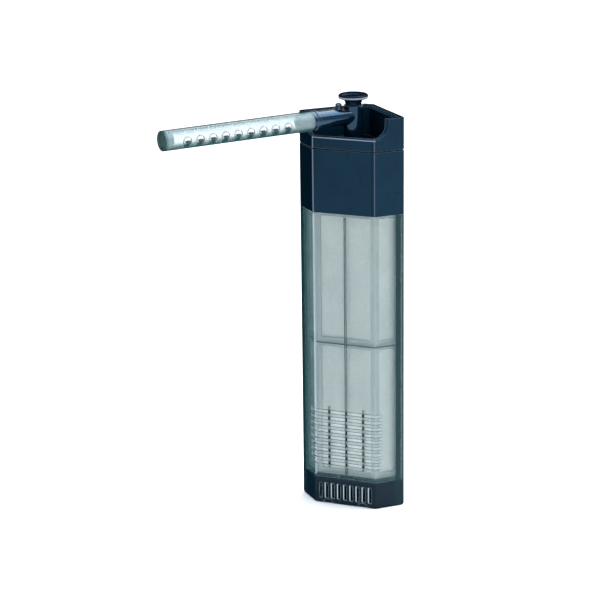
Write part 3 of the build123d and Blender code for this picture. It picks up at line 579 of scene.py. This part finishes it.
# Its pale edge colour is a painted highlight along its edges
SMOKED_CLEAR = ClearPlastic("smoked_clear", tint=(0.13, 0.24, 0.25), deep=(0.025, 0.075, 0.080),
                            edge_colour=(0.60, 0.78, 0.84), facing=0.12, grazing=0.97, falloff=1.3,
                            specular=0.1, edge_opacity=0.75, edge_radius=0.42 * MM, foot_height=19 * MM,
                            foot_colour=(0.003, 0.012, 0.022), foot_opacity=0.95,
                            stripes=(*RIB_SHADE_LINES, *SIDE_SHADE_BANDS, LOWER_CORNER_HIGHLIGHT, *SLOT_LIP_HIGHLIGHTS))

# Baskets: nearly the colour of the foam, with a dark joint between the two
BASKET_SEAM = Stripe(WHOLE_WIDTH, WHOLE_WIDTH, (111.2 * MM, 112.3 * MM), (0.01, 0.04, 0.05), 0.95)
BASKET_CLEAR = ClearPlastic("basket_clear", tint=(0.74, 0.80, 0.80), deep=(0.66, 0.74, 0.74),
                            edge_colour=(0.74, 0.80, 0.80), facing=0.5, grazing=0.6, specular=0.05,
                            edge_opacity=0.5, stripes=(BASKET_SEAM,))

# Spray bar: clear tube with painted shade patches at its holes, painted shade along its lower side and
# painted shade along its edges
BAR_HEADING = math.radians(232.4)
BAR_AXIS_HEIGHT = 262.0 * MM
FIRST_HOLE = 52.0 * MM
HOLE_PITCH = 8.98 * MM
HOLE_COUNT = 9
SPOT_HALF = 2.0 * MM
SPOT_BLUR = 0.5 * MM
# Colour of the painted shade beside the holes
HOLE_SHADE_COLOUR = (0.012, 0.055, 0.060)


def hole_shade_spots(reach: float, shift: float, height: Span) -> tuple[Stripe, ...]:
    """Patches of painted shade beside the spray bar's holes, standing in for the dark crescents that
    refraction makes there.

    Args:
        reach: how far each patch lies from the bar's axis, on the side of the holes.
        shift: how far each patch lies beyond its hole, along the bar.
        height: lowest and highest point of the patches above the bar's axis.

    Returns:
        One patch for each hole.
    """
    spots = []
    for index in range(HOLE_COUNT):
        along = FIRST_HOLE + index * HOLE_PITCH + shift
        across = along * math.cos(BAR_HEADING) - reach * math.sin(BAR_HEADING)
        depth = along * math.sin(BAR_HEADING) + reach * math.cos(BAR_HEADING)
        spots.append(Stripe((across - SPOT_HALF, across + SPOT_HALF), (depth - SPOT_HALF, depth + SPOT_HALF),
                            (BAR_AXIS_HEIGHT + height[0], BAR_AXIS_HEIGHT + height[1]),
                            HOLE_SHADE_COLOUR, 0.98, SPOT_BLUR))
    return tuple(spots)


NEAR_HOLE_SHADE = hole_shade_spots(5.0 * MM, 0.6 * MM, (-5.6 * MM, -1.8 * MM))
FAR_HOLE_SHADE = hole_shade_spots(-3.4 * MM, -5.4 * MM, (-6.4 * MM, -2.6 * MM))
# Painted shade along the bar's edges, along its lower side and at its holes
BAR_CLEAR = ClearPlastic("bar_clear", tint=(0.46, 0.60, 0.64), deep=BAR_DEEP, edge_colour=BAR_EDGE_SHADE,
                         facing=0.13, grazing=1.0, falloff=1.0, specular=0.15, edge_opacity=0.95,
                         edge_radius=0.6 * MM, foot_height=257.6 * MM, foot_blur=0.9 * MM,
                         foot_colour=(0.02, 0.07, 0.075), foot_opacity=0.95,
                         stripes=(*NEAR_HOLE_SHADE, *FAR_HOLE_SHADE))
# The cap's dark edges are painted shade
BAR_CAP = ClearPlastic("bar_cap", tint=(0.09, 0.19, 0.20), deep=BAR_DEEP, edge_colour=BAR_EDGE_SHADE, facing=0.8,
                       grazing=1.0, falloff=1.0, specular=0.15, edge_opacity=1.0, edge_radius=0.5 * MM)

# Pump head: painted highlights on its corners, its front rim and its edges, a painted shade line beside its
# right corner, and painted shade on faces turned from the eye
HEAD_HEIGHT = (200 * MM, 251 * MM)
HEAD_CORNERS = tuple(Stripe((middle - half, middle + half), CORNER_DEPTH, HEAD_HEIGHT, colour, strength)
                     for middle, half, colour, strength in ((-21.0 * MM, 0.5 * MM, PAINTED_HIGHLIGHT, 0.36),
                                                            (21.3 * MM, 0.45 * MM, PAINTED_HIGHLIGHT, 0.14),
                                                            (19.6 * MM, 0.6 * MM, (0.001, 0.008, 0.02), 0.7)))
FRONT_RIM_HIGHLIGHT = Stripe((-21 * MM, 22 * MM), CORNER_DEPTH, (249.75 * MM, 250.6 * MM), PAINTED_HIGHLIGHT, 0.5)
NAVY_PLASTIC = MouldedPlastic("navy_plastic", (0.0028, 0.020, 0.039), EDGE_HIGHLIGHT_NAVY, specular=0.06,
                              edge_highlight=0.5, slant_shade=0.3, stripes=(*HEAD_CORNERS, FRONT_RIM_HIGHLIGHT))

# Outlet elbow: glossy, with a blue sheen; its paler edges are a painted highlight and its faces turned from
# the eye get painted shade
ELBOW_PLASTIC = MouldedPlastic("elbow_plastic", INK_NAVY, (0.22, 0.32, 0.44), roughness=0.12, specular=0.9,
                               specular_tint=(0.30, 0.62, 1.0), slant_gloss=0.3, edge_highlight=0.7,
                               slant_shade=0.4)

# Flow knob: a painted highlight round its rim, and painted shade over its crest and dish
KNOB_SHADE = (0.001, 0.004, 0.010)
KNOB_WIDTH = (-11 * MM, 11 * MM)
KNOB_TOP = 277 * MM
DISH_FLOOR = 274 * MM
KNOB_BORDER = Stripe(KNOB_WIDTH, KNOB_WIDTH, (273.8 * MM, 274.95 * MM), PAINTED_HIGHLIGHT, 0.6, 0.15 * MM)
KNOB_CREST = Stripe(KNOB_WIDTH, KNOB_WIDTH, (275.1 * MM, KNOB_TOP), KNOB_SHADE, 0.85)
KNOB_DISH = tuple(Stripe((-across, across), (-depth, depth), (DISH_FLOOR, KNOB_TOP), KNOB_SHADE, 0.95)
                  for across, depth in ((8.8 * MM, 3.6 * MM), (7.7 * MM, 5.5 * MM), (6.6 * MM, 6.6 * MM),
                                        (5.5 * MM, 7.7 * MM), (3.6 * MM, 8.8 * MM)))
KNOB_PLASTIC = MouldedPlastic("knob_plastic", INK_NAVY, EDGE_HIGHLIGHT_NAVY, roughness=0.2, specular=0.12,
                              specular_tint=(0.40, 0.66, 1.0), edge_highlight=0.4, slant_shade=0.3,
                              stripes=(KNOB_BORDER, KNOB_CREST, *KNOB_DISH))

# Small parts and what lies inside
# The paler edge colours of these finishes are painted highlights along their edges
GRID_PLASTIC = MouldedPlastic("grid_plastic", (0.012, 0.035, 0.042), (0.08, 0.12, 0.13), edge_highlight=0.3)
IMPELLER_PLASTIC = MouldedPlastic("impeller_plastic", (0.30, 0.32, 0.33), (0.5, 0.5, 0.5), roughness=0.4)
BOBBIN_PLASTIC = MouldedPlastic("bobbin_plastic", (0.60, 0.57, 0.48), (0.75, 0.72, 0.65), roughness=0.5)
POTTING_RESIN = MouldedPlastic("potting_resin", (0.015, 0.015, 0.018), (0.05, 0.05, 0.05), roughness=0.15,
                               specular=0.5, grain=6 * MM, grain_depth=0.05 * MM)
WHITE_FOAM = FilterFoam("white_foam", (0.90, 0.93, 0.92), (0.62, 0.70, 0.70))
CUP_RUBBER = SoftRubber("cup_rubber", (0.010, 0.014, 0.016), roughness=0.35)
SEAL_RUBBER = SoftRubber("seal_rubber", (0.002, 0.007, 0.013), roughness=0.5, specular=0.08)
SHAFT_CERAMIC = GroundSolid("shaft_ceramic", (0.82, 0.80, 0.74), (0.74, 0.72, 0.67), 0.0, 0.25, Lay.ROUND)
MAGNET_FERRITE = GroundSolid("magnet_ferrite", (0.05, 0.05, 0.055), (0.09, 0.09, 0.095), 0.3, 0.4, Lay.ROUND)
CORE_STEEL = GroundSolid("core_steel", (0.45, 0.45, 0.46), (0.16, 0.16, 0.17), 0.9, 0.35, Lay.STACKED)
WIRE_COPPER = GroundSolid("wire_copper", (0.75, 0.30, 0.12), (0.60, 0.22, 0.08), 0.9, 0.25, Lay.ROUND)
PALE_PAPER = StudioPaper("pale_paper", (0.93, 0.94, 0.94))


# ---------------------------------------------------------------- shapes


@dataclass(frozen=True)
class Plan:
    """Plan of the filter: a square whose front corner is cut off and whose back corner is blunted."""

    axis_to_front: float = 19.1 * MM
    axis_to_side: float = 28.71 * MM
    axis_to_glass: float = 23.09 * MM
    axis_to_back: float = 29.26 * MM

    def corners(self, inset: float) -> list[Vector]:
        """Corners of the plan, counted round from the front.

        Args:
            inset: how far every wall is moved inwards.

        Returns:
            The six corners.
        """
        walls = [(-90, self.axis_to_front), (-45, self.axis_to_side), (45, self.axis_to_glass),
                 (90, self.axis_to_back), (135, self.axis_to_glass), (225, self.axis_to_side)]
        points = []
        for (angle_a, reach_a), (angle_b, reach_b) in zip(walls, walls[1:] + walls[:1]):
            a, b = math.radians(angle_a), math.radians(angle_b)
            turn = math.sin(b - a)
            near, far = reach_a - inset, reach_b - inset
            points.append(Vector(((near * math.sin(b) - far * math.sin(a)) / turn,
                                  (far * math.cos(a) - near * math.cos(b)) / turn)))
        return points

    def outline(self, inset: float, radius: float, along: int, round_steps: int) -> list[Vector]:
        """Outline with rounded corners, always with the same number of points.

        Args:
            inset: how far every wall is moved inwards.
            radius: the corners' radius.
            along: points on each straight side.
            round_steps: points on each corner's arc.

        Returns:
            The points in order.
        """
        corners = self.corners(inset)
        points: list[Vector] = []
        for index, corner in enumerate(corners):
            before = (corners[index - 1] - corner).normalized()
            after = (corners[(index + 1) % len(corners)] - corner).normalized()
            half = before.angle(after) / 2
            centre = corner + (before + after).normalized() * (radius / math.sin(half))
            start = corner + before * (radius / math.tan(half))
            spread = math.pi - 2 * half
            arc = [centre + Matrix.Rotation(spread * step / round_steps, 2) @ (start - centre)
                   for step in range(round_steps + 1)]
            if points:
                points += [points[-1].lerp(arc[0], step / (along + 1)) for step in range(1, along + 1)]
            points += arc
        points += [points[-1].lerp(points[0], step / (along + 1)) for step in range(1, along + 1)]
        return points


def new_mesh(name: str, points: list[Vector], faces: list[tuple[int, ...]],
             material: bpy.types.Material) -> bpy.types.Object:
    """Makes a smooth-shaded mesh object.

    Args:
        name: the piece's name.
        points: its vertices.
        faces: its faces, as numbers of vertices.
        material: its material.

    Returns:
        The object, linked to the scene.
    """
    mesh = bpy.data.meshes.new(name)
    mesh.from_pydata([tuple(point) for point in points], [], faces)
    mesh.polygons.foreach_set("use_smooth", [True] * len(mesh.polygons))
    mesh.materials.append(material)
    mesh.update()
    piece = bpy.data.objects.new(name, mesh)
    bpy.context.scene.collection.objects.link(piece)
    return piece


def ring_faces(first: int, second: int, count: int) -> list[tuple[int, ...]]:
    """Quads between two closed rings of vertices.

    Args:
        first: number of the lower ring's first vertex.
        second: number of the upper ring's first vertex.
        count: vertices in each ring.

    Returns:
        The faces.
    """
    return [(first + i, first + (i + 1) % count, second + (i + 1) % count, second + i) for i in range(count)]


def dress(node: str, material: bpy.types.Material) -> None:
    """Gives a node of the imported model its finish.

    Args:
        node: the node's name.
        material: the material that takes the place of the plain one.
    """
    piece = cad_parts[node]
    for slot in piece.material_slots:
        slot.material = material
    if not piece.material_slots:
        piece.data.materials.append(material)
    LOG.info("%s: finish %s", node, material.name)


# ---------------------------------------------------------------- sub-assemblies


@dataclass
class Canister:
    """Clear canister with its grid and the four suction cups on its glass walls."""

    shell: str = "canister"
    grid: str = "media_grid"
    cups: list[str] = field(default_factory=lambda: [
        f"suction_cup_{level}_{side.name.lower()}" for level in ("lower", "upper") for side in Side])

    def dress(self) -> None:
        """Gives the shell, the grid and the cups their finishes."""
        dress(self.shell, SMOKED_CLEAR.material())
        dress(self.grid, GRID_PLASTIC.material())
        rubber = CUP_RUBBER.material()
        for cup in self.cups:
            dress(cup, rubber)


@dataclass
class MediaCartridge:
    """Basket with its block of filter foam."""

    level: str
    body: Body
    plan: Plan = Plan()
    foam_inset: float = 4.2 * MM
    corner_radius: float = 2.4 * MM
    edge_radius: float = 1.6 * MM
    row_height: float = 2.6 * MM
    unevenness: float = 0.22 * MM
    swell: float = 14 * MM
    ripple: float = 5 * MM
    side_points: int = 12
    corner_points: int = 5
    edge_rows: int = 4
    cap_rings: int = 7

    def rows(self, low: float, high: float) -> list[Span]:
        """Heights of the block's rings with how far each ring is drawn in.

        Args:
            low: the block's lower face.
            high: its upper face.

        Returns:
            (height, draw-in) of each ring from the bottom up.
        """
        turns = [math.pi / 2 * step / self.edge_rows for step in range(self.edge_rows + 1)]
        curve = [(1 - math.cos(turn), math.sin(turn)) for turn in turns]
        foot = [(low + self.edge_radius * rise, self.edge_radius * (1 - out)) for rise, out in curve]
        head = [(low + high - height, drawn) for height, drawn in reversed(foot)]
        count = round((head[0][0] - foot[-1][0]) / self.row_height)
        middle = [(foot[-1][0] + (head[0][0] - foot[-1][0]) * step / count, 0.0) for step in range(1, count)]
        return foot + middle + head

    def close(self, points: list[Vector], faces: list[tuple[int, ...]], base: int, count: int,
              up: bool) -> Vector:
        """Closes one end of the block with rings that shrink to a point.

        Args:
            points: the block's vertices, to which the rings are added.
            faces: its faces, to which the new ones are added.
            base: number of the first vertex of the end's rim.
            count: vertices in each ring.
            up: whether it is the upper end.

        Returns:
            The middle of the end.
        """
        rim = points[base:base + count]
        middle = sum(rim, Vector((0, 0, 0))) / count
        last = base
        for index in range(1, self.cap_rings):
            start = len(points)
            points += [point.lerp(middle, index / self.cap_rings) for point in rim]
            faces += ring_faces(last, start, count) if up else ring_faces(start, last, count)
            last = start
        points.append(middle)
        tip = len(points) - 1
        for index in range(count):
            pair = (last + index, last + (index + 1) % count)
            faces.append((*pair, tip) if up else (*reversed(pair), tip))
        return middle

    def build(self, material: bpy.types.Material) -> bpy.types.Object:
        """Builds the foam block, rounded at its edges and slightly uneven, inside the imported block's space.

        Args:
            material: the foam's material.

        Returns:
            The foam block.
        """
        low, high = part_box(f"{self.level}_foam")
        points: list[Vector] = []
        faces: list[tuple[int, ...]] = []
        count = 0
        for height, drawn in self.rows(low[2], high[2]):
            ring = self.plan.outline(self.foam_inset + drawn, self.corner_radius, self.side_points,
                                     self.corner_points)
            count = len(ring)
            points += [Vector((point.x, point.y, height)) for point in ring]
        for index in range(len(points) // count - 1):
            faces += ring_faces(index * count, (index + 1) * count, count)
        top = len(points) - count
        self.close(points, faces, 0, count, up=False)
        middle = self.close(points, faces, top, count, up=True)
        hub = Vector((0, middle.y, 0))
        for point in points:
            wave = noise.noise(point / self.swell) + 0.5 * noise.noise(point / self.ripple)
            inwards = (hub - Vector((point.x, point.y, 0))).normalized()
            point += inwards * self.unevenness * (1 + wave) / 2
        foam = new_mesh(f"{self.level}_foam_block", points, faces, material)
        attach(foam, self.body.value)
        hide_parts(f"{self.level}_foam")
        LOG.info("%s: %d vertices on %s", foam.name, len(points), self.body.value)
        return foam

    def dress(self) -> None:
        """Gives the basket its finish."""
        dress(f"{self.level}_basket", BASKET_CLEAR.material())


@dataclass
class PumpHead:
    """Motor housing and top cover with their seals and the cable gland."""

    mouldings: tuple[str, ...] = ("motor_housing", "latch_left", "latch_right", "top_cover", "chamber_cover")
    seals: tuple[str, ...] = ("cover_seal", "duct_seal", "cable_gland", "riser_ring")

    def dress(self) -> None:
        """Gives the mouldings and the rubber parts their finishes."""
        plastic = NAVY_PLASTIC.material()
        rubber = SEAL_RUBBER.material()
        for node in self.mouldings:
            dress(node, plastic)
        for node in self.seals:
            dress(node, rubber)


@dataclass
class Motor:
    """Stator, coils, potting, and the impeller on its shaft."""

    wire: float = 0.6 * MM
    wire_sides: int = 8
    corner_steps: int = 5
    corner_radius: float = 1.5 * MM

    def turn(self, centre: Vector, half_width: float, half_height: float) -> list[Vector]:
        """One turn of wire: a rectangle with round corners, square to Y.

        Args:
            centre: the middle of the turn.
            half_width: half its size along X.
            half_height: half its size along Z.

        Returns:
            The points of its centre line.
        """
        points = []
        radius = self.corner_radius
        for quarter, (across, up) in enumerate(((1, 1), (-1, 1), (-1, -1), (1, -1))):
            middle = centre + Vector((across * (half_width - radius), 0, up * (half_height - radius)))
            for step in range(self.corner_steps + 1):
                angle = math.pi / 2 * (quarter + step / self.corner_steps)
                points.append(middle + Vector((math.cos(angle), 0, math.sin(angle))) * radius)
        return points

    def build(self, side: Side, material: bpy.types.Material) -> bpy.types.Object:
        """Winds the outer layer of one coil, turn beside turn.

        Args:
            side: which leg of the core it is on.
            material: the wire's material.

        Returns:
            The coil.
        """
        node = f"winding_{side.name.lower()}"
        low, high = (Vector(corner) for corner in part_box(node))
        centre = (low + high) / 2
        radius = self.wire / 2
        count = int((high.y - low.y) / self.wire)
        half_width, half_height = (high.x - low.x) / 2 - radius, (high.z - low.z) / 2 - radius
        points: list[Vector] = []
        faces: list[tuple[int, ...]] = []
        for index in range(count):
            centre.y = low.y + self.wire * (index + 0.5)
            line = self.turn(centre, half_width, half_height)
            first = len(points)
            for point in line:
                out = Vector((point.x - centre.x, 0, point.z - centre.z)).normalized()
                for corner in range(self.wire_sides):
                    angle = 2 * math.pi * corner / self.wire_sides
                    along = Vector((0, radius * math.sin(angle), 0))
                    points.append(point + out * radius * math.cos(angle) + along)
            rings = len(line)
            for place in range(rings):
                faces += ring_faces(first + place * self.wire_sides,
                                    first + (place + 1) % rings * self.wire_sides, self.wire_sides)
        coil = new_mesh(f"wire_coil_{side.name.lower()}", points, faces, material)
        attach(coil, Body.PUMP_HEAD.value)
        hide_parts(node)
        LOG.info("%s: %d turns in the outer layer", coil.name, count)
        return coil

    def dress(self) -> None:
        """Gives the motor's other parts their finishes."""
        dress("stator_core", CORE_STEEL.material())
        dress("potting_block", POTTING_RESIN.material())
        dress("impeller", IMPELLER_PLASTIC.material())
        dress("impeller_magnet", MAGNET_FERRITE.material())
        dress("impeller_shaft", SHAFT_CERAMIC.material())
        former = BOBBIN_PLASTIC.material()
        for side in Side:
            dress(f"bobbin_{side.name.lower()}", former)
        bush = SEAL_RUBBER.material()
        for node in ("lower_bush", "upper_bush"):
            dress(node, bush)


@dataclass
class Outlet:
    """Swivelling elbow with its valve and knob, and the spray bar."""

    elbow: str = "outlet_elbow"
    knob: tuple[str, ...] = ("flow_knob", "valve_plug")
    ring: str = "valve_ring"
    bar: str = "spray_bar"
    cap: str = "bar_end_cap"

    def dress(self) -> None:
        """Gives the elbow, the knob, the ring and the bar their finishes."""
        dress(self.elbow, ELBOW_PLASTIC.material())
        plastic = KNOB_PLASTIC.material()
        for node in self.knob:
            dress(node, plastic)
        dress(self.ring, SEAL_RUBBER.material())
        dress(self.bar, BAR_CLEAR.material())
        dress(self.cap, BAR_CAP.material())


# ---------------------------------------------------------------- studio


@dataclass(frozen=True)
class SoftBox:
    """Rectangular studio lamp that faces the filter."""

    name: str
    azimuth: float
    elevation: float
    distance: float
    width: float
    height: float
    radiance: float
    colour: Colour = (1.0, 1.0, 1.0)

    def build(self, aim: Vector) -> bpy.types.Object:
        """Sets up the lamp.

        Args:
            aim: the point that it faces.

        Returns:
            The lamp.
        """
        lamp = bpy.data.lights.new(self.name, "AREA")
        lamp.shape = "RECTANGLE"
        lamp.size, lamp.size_y = self.width, self.height
        lamp.energy = self.radiance * math.pi * self.width * self.height
        lamp.color = self.colour
        turn, rise = math.radians(self.azimuth), math.radians(self.elevation)
        away = Vector((math.sin(turn) * math.cos(rise), -math.cos(turn) * math.cos(rise), math.sin(rise)))
        stand = bpy.data.objects.new(self.name, lamp)
        stand.location = aim + away * self.distance
        stand.rotation_euler = away.to_track_quat("Z", "Y").to_euler()
        bpy.context.scene.collection.objects.link(stand)
        return stand


@dataclass
class Studio:
    """Pale floor, soft lamps and the camera."""

    floor_radius: float = 7.0
    floor_rings: int = 12
    floor_steps: int = 64
    ambient: float = 0.55
    sun: float = 1.9
    sun_spread: float = 60.0
    sun_tilt: float = 20.0
    azimuth: float = 22.02
    elevation: float = 16.38
    roll: float = -0.71
    distance: float = 1.5485
    lens: float = 140.42
    sensor: float = 36.0
    far_limit: float = 50.0
    side_shift: float = -38.08 * MM
    aim: Vector = field(default_factory=lambda: Vector((0.0, 5.9 * MM, 136.77 * MM)))
    lamps: tuple[SoftBox, ...] = (
        SoftBox("sky_box", azimuth=140, elevation=55, distance=1.1, width=1.5, height=1.1, radiance=5.0),
        SoftBox("front_box", azimuth=5, elevation=68, distance=1.3, width=0.9, height=0.4, radiance=8.0,
                colour=(0.70, 0.85, 1.0)),
        SoftBox("low_strip", azimuth=8, elevation=7, distance=1.3, width=0.5, height=0.02, radiance=22.0),
        SoftBox("right_strip", azimuth=76, elevation=8, distance=1.1, width=0.05, height=0.7, radiance=8.0),
        SoftBox("left_strip", azimuth=-12, elevation=12, distance=1.4, width=0.04, height=0.6, radiance=6.0),
    )

    def build_floor(self) -> bpy.types.Object:
        """Lays the floor: a wide disc of rings, so that it is even in every view.

        Returns:
            The floor.
        """
        points = [Vector((0, 0, 0))]
        faces: list[tuple[int, ...]] = []
        for ring in range(1, self.floor_rings + 1):
            reach = self.floor_radius * (ring / self.floor_rings) ** 2
            for step in range(self.floor_steps):
                angle = 2 * math.pi * step / self.floor_steps
                points.append(Vector((reach * math.cos(angle), reach * math.sin(angle), 0)))
        faces += [(0, 1 + step, 1 + (step + 1) % self.floor_steps) for step in range(self.floor_steps)]
        for ring in range(self.floor_rings - 1):
            outer = 1 + (ring + 1) * self.floor_steps
            faces += ring_faces(outer, outer - self.floor_steps, self.floor_steps)
        floor = new_mesh("studio_floor", points, faces, PALE_PAPER.material())
        return floor

    def build_light(self) -> None:
        """Sets up the even room light and the lamps."""
        world = bpy.data.worlds.new("studio_room")
        world.use_nodes = True
        background = world.node_tree.nodes["Background"]
        background.inputs["Color"].default_value = (1.0, 1.0, 1.0, 1.0)
        background.inputs["Strength"].default_value = self.ambient
        scene = bpy.context.scene
        scene.world = world
        scene.view_settings.view_transform = "Standard"
        for lamp in self.lamps:
            lamp.build(self.aim)
            LOG.info("lamp %s", lamp.name)
        ceiling = bpy.data.lights.new("ceiling_light", "SUN")
        ceiling.energy = self.sun
        ceiling.angle = math.radians(self.sun_spread)
        holder = bpy.data.objects.new("ceiling_light", ceiling)
        holder.rotation_euler = (-math.radians(self.sun_tilt), 0, 0)
        scene.collection.objects.link(holder)

    def build_camera(self) -> bpy.types.Object:
        """Places the camera.

        Returns:
            The camera.
        """
        turn, rise, tilt = (math.radians(angle) for angle in (self.azimuth, self.elevation, self.roll))
        right = Vector((math.cos(turn), math.sin(turn), 0))
        back = Vector((math.sin(turn) * math.cos(rise), -math.cos(turn) * math.cos(rise), math.sin(rise)))
        up = back.cross(right)
        aim = self.aim + right * self.side_shift
        across = right * math.cos(tilt) + up * math.sin(tilt)
        upright = up * math.cos(tilt) - right * math.sin(tilt)
        data = bpy.data.cameras.new("studio_camera")
        data.lens = self.lens
        data.sensor_width = self.sensor
        data.clip_end = self.far_limit
        camera = bpy.data.objects.new("studio_camera", data)
        spot = aim + back * self.distance
        axes = Matrix((across, upright, back)).transposed().to_4x4()
        camera.matrix_world = Matrix.Translation(spot) @ axes
        bpy.context.scene.collection.objects.link(camera)
        bpy.context.scene.camera = camera
        return camera


def main() -> None:
    """Builds and dresses every sub-assembly, then the studio."""
    logging.basicConfig(level=logging.INFO, format="%(message)s")
    Canister().dress()
    foam = WHITE_FOAM.material()
    for level, body in (("lower", Body.LOWER_CARTRIDGE), ("upper", Body.UPPER_CARTRIDGE)):
        cartridge = MediaCartridge(level, body)
        cartridge.build(foam)
        cartridge.dress()
    PumpHead().dress()
    motor = Motor()
    copper = WIRE_COPPER.material()
    for side in Side:
        motor.build(side, copper)
    motor.dress()
    Outlet().dress()
    studio = Studio()
    studio.build_floor()
    studio.build_light()
    studio.build_camera()


if __name__ == "__main__":
    main()
